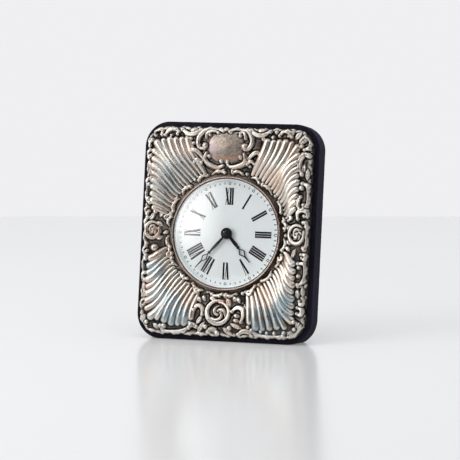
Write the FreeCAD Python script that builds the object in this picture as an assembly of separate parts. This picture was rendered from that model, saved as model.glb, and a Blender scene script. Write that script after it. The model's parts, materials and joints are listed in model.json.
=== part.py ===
import FreeCAD
import Part
import math
import os

# Easel-backed desk clock with a repoussé silver front over a velvet-covered board.
# Built upright first: X to the viewer's right, Y into the clock with the velvet's
# front at Y = 0, Z up from the bottom edge. At the end everything leans back.

V = FreeCAD.Vector

# Driving dimensions of the body, in millimetres
body_width = 104.5
body_height = 124.5
body_depth = 15.0
body_corner_radius = 14.5
lean_deg = 8.5
axis_height = 61.4
velvet = 0.8
velvet_bevel = 0.6
back_panel_thickness = 1.6
back_panel_inset = 1.2
back_fold_width = 9.0
fit_gap = 0.05
overrun = 2.0
fine_radius = 1.3
fine_sides = 12

# Silver front
silver_width = 100.0
silver_height = 119.5
silver_corner_radius = 12.0
silver_centre_height = 62.2
silver_sheet = 0.5
silver_crest = 3.6
silver_edge_roll = 2.4
dish_seat = 1.5
dish_inner_radius = 33.6
dish_outer_radius = 53.0
dish_facets = 32
flutes_per_corner = 11
flute_start_radius = 34.8
flute_border = 8.4
flute_start_half_width = 1.15
flute_end_half_width = 2.1
flute_proud = 0.95
flute_sink = 1.6
flute_crown_share = 0.45
flute_shoulder_share = 0.6
flute_tip_share = 0.4
flute_start_angles_deg = (17.0, 65.0)
flute_fan_angles_deg = (5.0, 86.0)
scroll_inset = 4.6
scroll_radius = 3.0
scroll_band = 1.5
scroll_proud = 0.9
scroll_bevel = 0.45
scroll_button_radius = 1.5
scroll_pitch = 16.0
scroll_sweep_deg = 200.0
scroll_facets = 7
button_facets = 8
rosette_facets = 12
rosette_sweep_deg = 330.0
side_rosette_radius = 4.2
side_rosette_reach = 43.0
base_rosette_radius = 6.4
base_rosette_drop = 44.6
base_rosette_x = -1.8

# Cartouche at the top centre of the silver front
plate_width = 19.0
plate_height = 13.4
plate_drop = 13.4
plate_thickness = 1.1
plate_bevel = 0.7
plate_corner_radius = 5.0
cartouche_stand = 4.9
cartouche_width = 28.0
cartouche_height = 20.0
cartouche_corner_radius = 8.5
cartouche_taper = 1.5
c_scroll_band = 2.0
c_scroll_radius = 7.2
c_scroll_centre = 4.6
c_scroll_sweep_deg = 150.0
c_scroll_proud = 1.0
volute_radius = 1.7
volute_proud = 1.5
finial_radius = 2.4

# Clock unit that pushes into the bore
bore_radius = 31.2
cup_clearance = 0.5
cup_front_wall = 0.4
cup_wall = 2.0
cup_back_wall = 1.0
cup_back_recess = 2.0
bezel_radius = 32.5
bezel_bore_radius = 30.5
bezel_height = 1.7
bezel_bevel = 0.6
silver_opening_gap = 0.1
pad_width = 6.0
pad_length = 4.0
pad_count = 3
pad_place_share = 0.55
lug_width = 3.6
lug_lap = 1.2
lug_angles_deg = (45.0, 165.0, 285.0)
glass_thickness = 1.0
glass_rise = 1.9
glass_foot = 1.0
dial_inset = 4.5
dial_thickness = 0.5
dial_margin = 0.2

# Hands
hour_hand_length = 21.3
minute_hand_length = 27.0
hand_thickness = 0.35
hour_hand_gap = 0.6
hand_layer_gap = 0.55
hour_hand_deg = 138.5
minute_hand_deg = 222.0
hour_hand_shares = (0.48, 0.78)
minute_hand_shares = (0.6, 0.84)
hand_shaft_start_width = 2.3
hand_shaft_end_width = 1.5
hand_diamond_width = 2.9
hand_tip_width = 0.35
hand_rim = 0.5
hand_collar_radius = 2.6
cap_radius = 3.25
cap_height = 1.7
cap_base = 0.9
cap_shoulder_share = 0.72
cap_crown_share = 0.4

# Movement: plates, arbors and wheels
plate_radius = 20.8
plate_sides = 8
movement_plate_thickness = 0.8
dial_to_front_plate = 2.2
train_space = 4.0
arbor_radius = 0.4
pivot_gap = 0.05
cannon_arbor_radius = 0.6
hour_pipe_wall = 0.5
hour_pipe_gap = 0.06
wheel_thickness = 0.4
pinion_length = 0.7
train_layers = 4
post_radius = 1.2
post_inset = 2.4
post_angles_deg = (90.0, 205.0, 325.0)
peg_radius = 0.6
plate_overlap = 1.2

# Tooth counts and modules of the going train and of the motion work
pinion_leaves = 6
intermediate_teeth = 36
seconds_teeth = 30
third_teeth = 45
centre_teeth = 48
rotor_module = 0.25
train_module = 0.3
cannon_leaves = 8
minute_teeth = 24
hour_teeth = 32
cannon_module = 0.35
addendum_share = 0.7
dedendum_share = 1.4
tooth_tip_share = 0.14
minute_wheel_dir_deg = 100.0
set_arbor_dir_deg = 130.0
third_dir_deg = 250.0
seconds_dir_deg = 330.0
intermediate_dir_deg = 30.0
rotor_dir_deg = 90.0

# Motor, board and battery
rotor_magnet_radius = 1.1
rotor_magnet_length = 1.2
rotor_air_gap = 0.35
stator_thickness = 0.6
stator_ring_width = 1.3
coil_x = 8.0
coil_z = 13.5
coil_length = 8.4
coil_radius = 1.7
coil_flange_half = 1.8
coil_flange_thickness = 0.6
coil_core_half = 0.7
coil_bobbin_wall = 0.35
core_tab_length = 2.4
core_tab_width = 2.4
board_width = 16.0
board_height = 11.0
board_thickness = 0.6
board_x = -7.0
board_z = -8.0
board_gap = 0.15
can_radius = 0.75
can_length = 5.6
chip_size = 3.2
chip_height = 0.8
battery_radius = 5.8
battery_thickness = 5.4
battery_pole_share = 0.75
battery_x = 11.3
battery_z = -16.0
battery_gap = 0.15
holder_wall = 0.7
contact_thickness = 0.25
contact_width = 2.0
contact_slot_width = 2.6
battery_cap_rim = 1.4
battery_cap_step = 0.7
coin_slot_width = 1.3
coin_slot_depth = 0.5
set_knob_radius = 3.0
set_knob_height = 1.3
set_knob_ridges = 14
set_knob_ridge = 0.4

# Easel strut and its hinge
strut_open_deg = 22.0
strut_top_width = 27.0
strut_waist_width = 25.0
strut_waist_share = 0.63
strut_foot_width = 44.0
strut_board_thickness = 2.2
strut_velvet = 0.5
strut_top_gap = 4.0
strut_corner_radius = 4.0
strut_closed_gap = 0.4
sole_lap = 0.01
pivot_above_bore = 11.4
leaf_thickness = 0.6
leaf_width = 19.0
leaf_height = 15.0
leaf_drop = 2.2
leaf_corner_radius = 2.0
strut_leaf_length = 15.0
strut_leaf_width = 15.0
knuckle_radius = 1.25
knuckle_length = 5.0
knuckle_gap = 0.2
ear_thickness = 1.2
ear_radius = 1.5
hinge_pin_radius = 0.6
hinge_pin_gap = 0.05
pin_head_radius = 1.0
pin_head_length = 0.5
stop_gap = 0.03
hinge_screw_radius = 0.8
hinge_screw_head_radius = 1.6
hinge_screw_head_height = 0.5
hinge_screw_length = 5.0
strut_screw_length = 1.9

# Planes across the depth, worked out from the sizes above
ring_seat = -dish_seat
ring_front = ring_seat - bezel_height
dial_front = ring_front + dial_inset
dial_back = dial_front + dial_thickness
cup_radius = bore_radius - cup_clearance
cup_inner_radius = cup_radius - cup_wall
cup_dial_radius = cup_radius - cup_front_wall
cup_back = body_depth - cup_back_recess
cup_floor = cup_back - cup_back_wall
front_plate_front = dial_back + dial_to_front_plate
front_plate_back = front_plate_front + movement_plate_thickness
rear_plate_front = front_plate_back + train_space
rear_plate_back = rear_plate_front + movement_plate_thickness
hour_hand_back = dial_front - hour_hand_gap
minute_hand_back = hour_hand_back - hand_thickness - hand_layer_gap
panel_back = body_depth
panel_front = body_depth - back_panel_thickness
strut_thickness = strut_board_thickness + strut_velvet + strut_velvet
leaf_back = panel_back + strut_closed_gap + strut_thickness + leaf_thickness
pivot_depth = leaf_back - knuckle_radius
pivot_height = axis_height + bore_radius + pivot_above_bore
lean_rise = math.tan(math.radians(lean_deg))
open_sine = math.sin(math.radians(strut_open_deg))
open_cosine = math.cos(math.radians(strut_open_deg))
strut_length = (pivot_height - pivot_depth * lean_rise) / (open_cosine + open_sine * lean_rise)
layer_gap = (train_space - pinion_length - pinion_length) / train_layers
minute_layer = front_plate_front - layer_gap - wheel_thickness
hour_layer = dial_back + layer_gap
cannon_front = hour_layer + wheel_thickness + fit_gap


def polar(radius, angle_deg):
    """X and Z of a point at a clock angle, clockwise from the top."""
    angle = math.radians(angle_deg)
    return radius * math.sin(angle), radius * math.cos(angle)


def polygon_prism(points, front, back):
    """A prism along Y over straight-sided points in X and Z."""
    corners = [V(x, front, z) for x, z in points]
    face = Part.Face(Part.makePolygon(corners + corners[:1]))
    return face.extrude(V(0, back - front, 0))


def cylinder(x, z, front, back, radius):
    """A bar along Y between two depths: round, or of many flats where it is fine."""
    if radius > fine_radius:
        return Part.makeCylinder(radius, back - front, V(x, front, z), V(0, 1, 0))
    points = []
    for k in range(fine_sides):
        px, pz = polar(radius, (k + 1 / 2) * 360 / fine_sides)
        points.append((x + px, z + pz))
    return polygon_prism(points, front, back)


def ring(x, z, front, back, outer, inner):
    """A round tube along Y."""
    bar = cylinder(x, z, front, back, outer)
    return bar.cut(cylinder(x, z, front - overrun, back + overrun, inner))


def plane_sided(sections):
    """A closed solid with flat faces through point loops of equal count."""
    loops = [sections[0], sections[-1]]
    for near, far in zip(sections[:-1], sections[1:]):
        for k in range(len(near)):
            n = (k + 1) % len(near)
            loops.append([near[k], near[n], far[n], far[k]])
    faces = [Part.Face(Part.makePolygon(loop + loop[:1])) for loop in loops]
    solid = Part.Solid(Part.makeShell(faces))
    if solid.Volume < 0:
        solid.reverse()
    return solid


def rounded_plate(width, height, radius, centre_x, centre_z, front, back):
    """A plate with round corners, seen from the front, extruded along Y."""
    box = Part.makeBox(width, back - front, height,
                       V(centre_x - width / 2, front, centre_z - height / 2))
    uprights = [e for e in box.Edges
                if abs(e.tangentAt(e.FirstParameter).y) > 1 - fit_gap / width]
    return box.makeFillet(radius, uprights)


def fuse_all(shapes):
    """One solid from shapes that touch or overlap."""
    first = shapes[0]
    return first.fuse(shapes[1:]) if len(shapes) > 1 else first


# The leaning board and its velvet


def body_floor_cut(extra_depth):
    """What lies under the level cut that the leaning clock stands on."""
    front = -overrun - silver_crest
    back = body_depth + extra_depth
    side = body_width
    corners = [V(-side, front, front * lean_rise), V(-side, back, back * lean_rise),
               V(-side, back, -side), V(-side, front, -side)]
    face = Part.Face(Part.makePolygon(corners + corners[:1]))
    return face.extrude(V(side + side, 0, 0))


def body_prism(inset, front, back):
    """The body's rounded outline, drawn in by an inset."""
    shape = rounded_plate(body_width - inset - inset, body_height - inset - inset,
                          body_corner_radius - inset, 0, body_height / 2, front, back)
    cut = body_floor_cut(overrun)
    cut.translate(V(0, 0, inset))
    return shape.cut(cut)


def main_bore(front, back, clearance):
    """The through hole that holds the clock unit."""
    return cylinder(0, axis_height, front, back, bore_radius + clearance)


def wood_core():
    board = body_prism(velvet, velvet, panel_front - velvet)
    board = board.cut(main_bore(-overrun, body_depth + overrun, 0))
    return board.cut(fuse_all(hinge_screw_bars(fit_gap)))


def velvet_cover():
    outer = body_prism(0, 0, panel_front)
    edges = [e for e in outer.Edges
             if e.BoundBox.YMax < fit_gap and e.BoundBox.ZMax > body_corner_radius]
    outer = outer.makeChamfer(velvet_bevel, edges)
    hollow = body_prism(velvet, velvet, panel_front - velvet)
    window = body_prism(back_fold_width, panel_front - velvet - overrun, body_depth)
    shell = outer.cut(hollow).cut(window)
    return shell.cut(main_bore(-overrun, body_depth, 0))


def back_panel():
    panel = body_prism(back_panel_inset, panel_front, panel_back)
    panel = panel.cut(main_bore(-overrun, body_depth + overrun, 0))
    return panel.cut(fuse_all(hinge_screw_bars(fit_gap)))


# The silver front


def dish_depth(x, z):
    """How far the sheet stands in front of the velvet at a point."""
    reach = math.hypot(x, z - axis_height)
    share = (reach - dish_inner_radius) / (dish_outer_radius - dish_inner_radius)
    share = min(max(share, 0), 1)
    return dish_seat + share * (silver_crest - dish_seat)


def dish_cut(crest):
    """The many-sided hollow that dips from the border to the bezel's seat."""
    slope = (silver_crest - dish_seat) / (dish_outer_radius - dish_inner_radius)
    loops = []
    for radius, depth in ((dish_inner_radius, crest + silver_crest - dish_seat),
                          (dish_outer_radius + overrun, crest - overrun * slope)):
        loop = []
        for k in range(dish_facets):
            x, z = polar(radius, (k + 1 / 2) * 360 / dish_facets)
            loop.append(V(x, depth, axis_height + z))
        loops.append(loop)
    return plane_sided(loops)


def pillow(inset, back):
    """The sheet's cushion form, drawn in by a thickness on every side."""
    crest = -(silver_crest - inset)
    shape = rounded_plate(silver_width - inset - inset, silver_height - inset - inset,
                          silver_corner_radius - inset, 0, silver_centre_height,
                          crest, back)
    rim = [e for e in shape.Edges if e.BoundBox.YMax < crest + fit_gap]
    shape = shape.makeChamfer(silver_edge_roll, rim)
    return shape.cut(dish_cut(crest))


def flute(start, end, half_start, half_end):
    """One tapered gadroon with a facetted back, laid on the dished sheet."""
    first = V(start[0], -dish_depth(*start), start[1])
    last = V(end[0], -dish_depth(*end), end[1])
    along = V(end[0] - start[0], 0, end[1] - start[1])
    along.normalize()
    tip = last + along * half_end * flute_tip_share
    across = V(along.z, 0, -along.x) * half_end
    up = V(0, -flute_proud, 0)
    down = V(0, flute_sink, 0)
    brow = across * ((1 + flute_crown_share) / 2) + up * flute_shoulder_share
    crown = across * flute_crown_share + up
    right = [across + down, across, brow, crown]
    left = [V(-p.dot(across) / half_end ** 2 * across.x, p.y,
              -p.dot(across) / half_end ** 2 * across.z) for p in reversed(right)]
    profile = right + left
    sections = []
    for place, scale in ((first, half_start / half_end), (last, 1), (tip, flute_tip_share)):
        sections.append([place + p * scale for p in profile])
    return plane_sided(sections)


def flute_lines():
    """Start and end points of the flutes of the upper right corner fan."""
    right = silver_width / 2 - flute_border
    top = silver_centre_height + silver_height / 2 - flute_border - axis_height
    lines = []
    for k in range(flutes_per_corner):
        share = k / (flutes_per_corner - 1)
        first, last = flute_start_angles_deg
        at = math.radians(first + share * (last - first))
        first, last = flute_fan_angles_deg
        heading = math.radians(first + share * (last - first))
        sx = flute_start_radius * math.cos(at)
        sz = flute_start_radius * math.sin(at)
        to_side = (right - sx) / math.cos(heading)
        to_top = (top - sz) / math.sin(heading)
        length = min(to_side, to_top) - flute_end_half_width
        lines.append((sx, sz, sx + length * math.cos(heading), sz + length * math.sin(heading)))
    return lines


def flutes():
    """The four corner fans."""
    ribs = []
    for side in (-1, 1):
        for up in (-1, 1):
            for x0, z0, x1, z1 in flute_lines():
                start = (side * x0, axis_height + up * z0)
                end = (side * x1, axis_height + up * z1)
                ribs.append(flute(start, end, flute_start_half_width, flute_end_half_width))
    return ribs


def button(x, z, top, base, radius):
    """A small many-sided boss that narrows to its top."""
    loops = []
    for size, depth in ((radius * (1 - flute_tip_share), top),
                        (radius, top + radius * flute_tip_share), (radius, base)):
        loop = []
        for k in range(button_facets):
            dx, dz = polar(size, k * 360 / button_facets)
            loop.append(V(x + dx, depth, z + dz))
        loops.append(loop)
    return plane_sided(loops)


def scroll_band_solid(x, z, first_deg, sweep_deg, top, base, radius, width, facets):
    """A raised C-shaped band with bevelled edges, in flat stretches."""
    outer = radius + width / 2
    inner = radius - width / 2
    profile = [(inner, base), (inner, top + scroll_bevel), (inner + scroll_bevel, top),
               (outer - scroll_bevel, top), (outer, top + scroll_bevel), (outer, base)]
    loops = []
    for k in range(facets + 1):
        loop = []
        for reach, depth in profile:
            dx, dz = polar(reach, first_deg + sweep_deg * k / facets)
            loop.append(V(x + dx, depth, z + dz))
        loops.append(loop)
    return plane_sided(loops)


def scroll(x, z, open_deg):
    """One border C-scroll with a ball-like button in its end."""
    surface = -dish_depth(x, z)
    top = surface - scroll_proud
    base = surface + silver_sheet
    band = scroll_band_solid(x, z, open_deg, scroll_sweep_deg, top, base, scroll_radius,
                             scroll_band, scroll_facets)
    dx, dz = polar(scroll_radius, open_deg)
    return band.fuse(button(x + dx, z + dz, top, base, scroll_button_radius))


def rosette(x, z, radius, open_deg):
    """A round swirl: an almost closed band with a button in its middle."""
    surface = -dish_depth(x, z)
    top = surface - scroll_proud
    base = surface + silver_sheet
    band = scroll_band_solid(x, z, open_deg, rosette_sweep_deg, top, base, radius,
                             scroll_band, rosette_facets)
    return [band, button(x, z, top, base, scroll_button_radius)]


def rosettes():
    """The swirls at the middle of both sides and at the bottom."""
    low = rosette(base_rosette_x, axis_height - base_rosette_drop, base_rosette_radius, 0)
    right = rosette(side_rosette_reach, axis_height, side_rosette_radius, 90)
    left = rosette(-side_rosette_reach, axis_height, side_rosette_radius, -90)
    return low + right + left


def border_scrolls():
    """A chain of C-scrolls along the four edges, turned to alternate ways."""
    half_x = silver_width / 2 - scroll_inset
    half_z = silver_height / 2 - scroll_inset
    units = []
    for horizontal, fixed, reach in ((True, half_z, half_x), (False, half_x, half_z)):
        count = int((reach + reach) / scroll_pitch)
        step = (reach + reach) / (count + 1)
        for sign in (-1, 1):
            for k in range(1, count + 1):
                along = -reach + k * step
                x, z = (along, sign * fixed) if horizontal else (sign * fixed, along)
                beside_swirl = abs(silver_centre_height + z - axis_height) < side_rosette_radius
                if horizontal and sign > 0 and abs(along) < cartouche_width / 2:
                    continue
                if not horizontal and beside_swirl:
                    continue
                turn = (90 if horizontal else 0) + (180 if k % 2 else 0)
                units.append(scroll(x, silver_centre_height + z, turn))
    return units


def cartouche():
    """The raised plain plate at the top, with scrolls on both sides of it."""
    centre = silver_centre_height + silver_height / 2 - plate_drop
    front = -cartouche_stand
    block = rounded_plate(cartouche_width, cartouche_height, cartouche_corner_radius,
                          0, centre, front, -silver_sheet)
    rim = [e for e in block.Edges if e.BoundBox.YMax < front + fit_gap]
    block = block.makeChamfer(cartouche_taper, rim)
    plate = rounded_plate(plate_width, plate_height, plate_corner_radius, 0, centre,
                          front - plate_thickness, front + plate_thickness)
    rim = [e for e in plate.Edges if e.BoundBox.YMax < front - plate_thickness + fit_gap]
    pieces = [block, plate.makeChamfer(plate_bevel, rim)]
    for side in (-1, 1):
        x = side * c_scroll_centre
        first = side * 90 - c_scroll_sweep_deg / 2
        pieces.append(scroll_band_solid(x, centre, first, c_scroll_sweep_deg,
                                        front - c_scroll_proud, front + silver_sheet,
                                        c_scroll_radius, c_scroll_band, scroll_facets))
        for end in (first, first + c_scroll_sweep_deg):
            dx, dz = polar(c_scroll_radius, end)
            pieces.append(button(x + dx, centre + dz, front - volute_proud,
                                 front + silver_sheet, volute_radius))
    finial = centre + cartouche_height / 2
    pieces.append(button(0, finial, -silver_crest - volute_proud, -silver_sheet,
                         finial_radius))
    return pieces


def silver_opening(clearance):
    """The hole in the sheet, hidden behind the bezel's flange."""
    return cylinder(0, axis_height, -body_depth, overrun, bore_radius + clearance)


def silver_front():
    sheet = pillow(0, 0)
    relief = sheet.fuse(flutes() + border_scrolls() + rosettes() + cartouche())
    hollow = pillow(silver_sheet, overrun)
    relief = relief.cut(hollow)
    behind = Part.makeBox(body_width, body_depth, body_height, V(-body_width / 2, 0, 0))
    relief = relief.cut(behind)
    ring_room = cylinder(0, axis_height, -body_depth, ring_seat, bezel_radius + fit_gap)
    relief = relief.cut(ring_room)
    return relief.cut(silver_opening(silver_opening_gap))


def relief_filler():
    """The packing that backs the hollow sheet."""
    core = pillow(silver_sheet + fit_gap, 0)
    return core.cut(silver_opening(silver_opening_gap))


# Bezel, glass, case and dial


def bezel_ring():
    """The flange over the sheet's edge, bevelled on its outer rim."""
    outer = cylinder(0, axis_height, ring_front, ring_seat, bezel_radius)
    rim = [e for e in outer.Edges if e.BoundBox.YMax < ring_front + fit_gap]
    outer = outer.makeChamfer(bezel_bevel, rim)
    return outer.cut(cylinder(0, axis_height, ring_front - overrun, ring_seat + overrun,
                              bezel_bore_radius))


def glass_lens():
    """A domed glass whose flat foot stands on the case's front edge."""
    radius = bezel_bore_radius - fit_gap
    edge = ring_seat - glass_thickness
    ball = (radius * radius + glass_rise * glass_rise) / (2 * glass_rise)
    centre = edge - glass_rise + ball
    outer = Part.makeSphere(ball, V(0, centre, axis_height))
    outer = outer.common(cylinder(0, axis_height, edge - glass_rise - overrun, ring_seat,
                                  radius))
    inner = Part.makeSphere(ball - glass_thickness, V(0, centre, axis_height))
    inner = inner.common(cylinder(0, axis_height, edge - glass_rise, ring_seat + overrun,
                                  radius - glass_foot))
    return outer.cut(inner)


def case_lugs():
    """Three lugs inside the case that carry the movement's front plate."""
    ledge = ring(0, axis_height, dial_back, front_plate_front, cup_inner_radius + fit_gap,
                 plate_radius - plate_overlap)
    reach = cup_inner_radius - plate_radius + lug_lap + lug_lap
    spokes = []
    for angle in lug_angles_deg:
        x, z = polar((cup_inner_radius + plate_radius) / 2, angle)
        bar = Part.makeBox(reach, dial_to_front_plate, lug_width,
                           V(-reach / 2, dial_back, -lug_width / 2))
        bar.rotate(V(0, 0, 0), V(0, 1, 0), angle - 90)
        bar.translate(V(x, 0, axis_height + z))
        spokes.append(bar)
    return fuse_all(spokes).common(ledge)


def insert_cup():
    body = cylinder(0, axis_height, ring_seat, cup_back, cup_radius)
    body = body.cut(cylinder(0, axis_height, ring_seat - overrun, dial_back, cup_dial_radius))
    body = body.cut(cylinder(0, axis_height, dial_back - fit_gap, cup_floor, cup_inner_radius))
    body = body.fuse(case_lugs())
    bx, bz = battery_x, axis_height + battery_z
    rim_radius = battery_radius + battery_cap_rim
    body = body.cut(cylinder(bx, bz, cup_floor - overrun, cup_back + overrun,
                             battery_radius + fit_gap))
    body = body.cut(cylinder(bx, bz, cup_back - battery_cap_step, cup_back + overrun,
                             rim_radius + fit_gap))
    knob_x, knob_z = set_arbor_place()
    return body.cut(cylinder(knob_x, knob_z, cup_floor - overrun, cup_back + overrun,
                             arbor_radius + pivot_gap))


def grip_pads():
    """Rubber pads on the case's side that hold the unit in the bore by friction."""
    place = dial_back + pad_place_share * (cup_back - dial_back)
    corner = math.sqrt((bore_radius - fit_gap) ** 2 - pad_width * pad_width / 4)
    pads = []
    for k in range(pad_count):
        pad = Part.makeBox(pad_width, pad_length, corner - cup_radius - fit_gap,
                           V(-pad_width / 2, place - pad_length / 2, cup_radius + fit_gap))
        pad.rotate(V(0, 0, 0), V(0, 1, 0), k * 360 / pad_count)
        pad.translate(V(0, 0, axis_height))
        pads.append(pad)
    return Part.makeCompound(pads)


def dial_plate():
    plate = cylinder(0, axis_height, dial_front, dial_back, cup_dial_radius - dial_margin)
    hole = cannon_arbor_radius + hour_pipe_gap + hour_pipe_wall + dial_margin
    return plate.cut(cylinder(0, axis_height, dial_front - overrun, dial_back + overrun, hole))


# Toothed wheels


def toothed(x, z, front, back, teeth, module, phase_deg):
    """A spur wheel or pinion; one tooth points along the phase angle."""
    pitch = 360 / teeth
    mid = teeth * module / 2
    tip = mid + addendum_share * module
    root = mid - dedendum_share * module
    stations = ((root, -1 / 2), (tip, -tooth_tip_share / 2), (tip, tooth_tip_share / 2))
    points = []
    for k in range(teeth):
        for radius, share in stations:
            px, pz = polar(radius, phase_deg + (k + share) * pitch)
            points.append((x + px, z + pz))
    return polygon_prism(points, front, back)


def meshed_phase(phase_deg, teeth, toward_deg, other_teeth):
    """Phase of a wheel whose tooth gap faces the first wheel's tooth."""
    offset = (phase_deg - toward_deg) * teeth / 360
    return toward_deg + 180 + 360 / other_teeth * (-offset - 1 / 2)


def centre_distance(first_teeth, second_teeth, module):
    return (first_teeth + second_teeth) * module / 2


def step_from(place, distance, toward_deg):
    """A point at a distance and clock angle from another."""
    dx, dz = polar(distance, toward_deg)
    return place[0] + dx, place[1] + dz


def centre_place():
    return 0, axis_height


def minute_wheel_place():
    reach = centre_distance(cannon_leaves, minute_teeth, cannon_module)
    return step_from(centre_place(), reach, minute_wheel_dir_deg)


def set_arbor_place():
    reach = centre_distance(cannon_leaves, minute_teeth, cannon_module)
    return step_from(minute_wheel_place(), reach, set_arbor_dir_deg)


def third_place():
    reach = centre_distance(pinion_leaves, centre_teeth, train_module)
    return step_from(centre_place(), reach, third_dir_deg)


def seconds_place():
    reach = centre_distance(pinion_leaves, third_teeth, train_module)
    return step_from(third_place(), reach, seconds_dir_deg)


def intermediate_place():
    reach = centre_distance(pinion_leaves, seconds_teeth, train_module)
    return step_from(seconds_place(), reach, intermediate_dir_deg)


def rotor_place():
    reach = centre_distance(pinion_leaves, intermediate_teeth, rotor_module)
    return step_from(intermediate_place(), reach, rotor_dir_deg)


def hour_module():
    """Keeps the hour wheel at the same centre distance as the minute wheel."""
    return cannon_module * (cannon_leaves + minute_teeth) / (cannon_leaves + hour_teeth)


def train_layer(number):
    """Front of one of the four wheel layers between the plates."""
    room = train_space - layer_gap - layer_gap - wheel_thickness
    return front_plate_back + layer_gap + number * room / (train_layers - 1)


def pivot_front():
    return front_plate_front + pivot_gap


def pivot_back():
    return rear_plate_back - pivot_gap


def arbor(place):
    """A steel arbor whose pivots run in both plates."""
    return cylinder(place[0], place[1], pivot_front(), pivot_back(), arbor_radius)


def wheel_and_pinion(place, wheel_layer, teeth, module, phase, pinion_layer):
    """One train arbor with its wheel and the pinion that drives the next wheel."""
    x, z = place
    front = train_layer(wheel_layer)
    wheel = toothed(x, z, front, front + wheel_thickness, teeth, module, phase)
    low = train_layer(pinion_layer) + wheel_thickness / 2 - pinion_length / 2
    pinion = toothed(x, z, low, low + pinion_length, pinion_leaves, train_module, 0)
    return fuse_all([arbor(place), wheel, pinion])


def rotor_pinion():
    x, z = rotor_place()
    low = train_layer(train_layers - 1) + wheel_thickness / 2 - pinion_length / 2
    leaves = toothed(x, z, low, low + pinion_length, pinion_leaves, rotor_module, 0)
    return arbor((x, z)).fuse(leaves)


def magnet_middle():
    return train_layer(1) + wheel_thickness / 2


def rotor_magnet():
    x, z = rotor_place()
    middle = magnet_middle()
    return ring(x, z, middle - rotor_magnet_length / 2, middle + rotor_magnet_length / 2,
                rotor_magnet_radius, arbor_radius)


def intermediate_phase():
    return meshed_phase(0, pinion_leaves, rotor_dir_deg + 180, intermediate_teeth)


def seconds_phase():
    return meshed_phase(0, pinion_leaves, intermediate_dir_deg + 180, seconds_teeth)


def third_phase():
    return meshed_phase(0, pinion_leaves, seconds_dir_deg + 180, third_teeth)


def centre_phase():
    return meshed_phase(0, pinion_leaves, third_dir_deg + 180, centre_teeth)


def intermediate_wheel():
    return wheel_and_pinion(intermediate_place(), 3, intermediate_teeth, rotor_module,
                            intermediate_phase(), 2)


def seconds_wheel():
    return wheel_and_pinion(seconds_place(), 2, seconds_teeth, train_module,
                            seconds_phase(), 1)


def third_wheel():
    return wheel_and_pinion(third_place(), 1, third_teeth, train_module, third_phase(), 0)


def centre_wheel():
    """Rides loose on the minute arbor through its friction clutch."""
    x, z = centre_place()
    front = train_layer(0)
    wheel = toothed(x, z, front, front + wheel_thickness, centre_teeth, train_module,
                    centre_phase())
    hub = cylinder(x, z, front, rear_plate_front - layer_gap,
                   cannon_arbor_radius + pivot_gap + arbor_radius)
    return wheel.fuse(hub).cut(cylinder(x, z, front - overrun, rear_plate_back,
                                        cannon_arbor_radius + pivot_gap))


def minute_arbor():
    x, z = centre_place()
    front = minute_hand_back - hand_thickness - cap_base
    bar = cylinder(x, z, front, pivot_back(), cannon_arbor_radius)
    leaves = toothed(x, z, cannon_front, cannon_front + pinion_length, cannon_leaves,
                     cannon_module, minute_wheel_dir_deg)
    return bar.fuse(leaves)


def minute_wheel():
    """Reduces the minute arbor's turn for the hour wheel; runs on a stud."""
    x, z = minute_wheel_place()
    wheel_phase = meshed_phase(minute_wheel_dir_deg, cannon_leaves, minute_wheel_dir_deg,
                               minute_teeth)
    wheel = toothed(x, z, minute_layer, minute_layer + wheel_thickness, minute_teeth,
                    cannon_module, wheel_phase)
    pinion = toothed(x, z, hour_layer, minute_layer + fit_gap, cannon_leaves, hour_module(),
                     minute_wheel_dir_deg + 180)
    bore = arbor_radius + pivot_gap
    return wheel.fuse(pinion).cut(cylinder(x, z, dial_back, front_plate_front, bore))


def hour_wheel():
    x, z = centre_place()
    phase = meshed_phase(minute_wheel_dir_deg + 180, cannon_leaves,
                         minute_wheel_dir_deg + 180, hour_teeth)
    wheel = toothed(x, z, hour_layer, hour_layer + wheel_thickness, hour_teeth,
                    hour_module(), phase)
    inner = cannon_arbor_radius + hour_pipe_gap
    pipe = cylinder(x, z, hour_hand_back - hand_thickness, hour_layer + wheel_thickness,
                    inner + hour_pipe_wall)
    bore = cylinder(x, z, hour_hand_back - body_depth, front_plate_front, inner)
    return wheel.fuse(pipe).cut(bore)


def set_arbor():
    """Carries the setting pinion in front and the knob behind the case."""
    x, z = set_arbor_place()
    bar = cylinder(x, z, minute_layer - layer_gap, cup_back + set_knob_height - fit_gap,
                   arbor_radius)
    phase = meshed_phase(
        meshed_phase(minute_wheel_dir_deg, cannon_leaves, minute_wheel_dir_deg, minute_teeth),
        minute_teeth, set_arbor_dir_deg, cannon_leaves)
    return bar.fuse(toothed(x, z, cannon_front, cannon_front + pinion_length, cannon_leaves,
                            cannon_module, phase))


def set_knob():
    x, z = set_arbor_place()
    front = cup_back + fit_gap
    back = cup_back + set_knob_height
    points = []
    for k in range(set_knob_ridges + set_knob_ridges):
        radius = set_knob_radius - (set_knob_ridge if k % 2 else 0)
        nx, nz = polar(radius, k * 180 / set_knob_ridges)
        points.append((x + nx, z + nz))
    knob = polygon_prism(points, front, back)
    return knob.cut(cylinder(x, z, front - overrun, back - fit_gap, arbor_radius))


# Plates and motor


def post_places():
    """Three posts near the plates' rim, clear of wheels, coil and battery."""
    return [step_from(centre_place(), plate_radius - post_inset, angle)
            for angle in post_angles_deg]


def battery_room(clearance):
    x, z = battery_x, axis_height + battery_z
    radius = battery_radius + battery_gap + holder_wall + clearance
    return cylinder(x, z, front_plate_front - overrun, cup_back, radius)


def movement_blank(front, back):
    points = []
    for k in range(plate_sides):
        x, z = polar(plate_radius / math.cos(math.pi / plate_sides),
                     (k + 1 / 2) * 360 / plate_sides)
        points.append((x, axis_height + z))
    return polygon_prism(points, front, back).cut(battery_room(layer_gap))


def drilled(plate, places, radius):
    """A plate with a bearing hole at each place."""
    for x, z in places:
        plate = plate.cut(cylinder(x, z, dial_back, cup_back, radius))
    return plate


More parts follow.
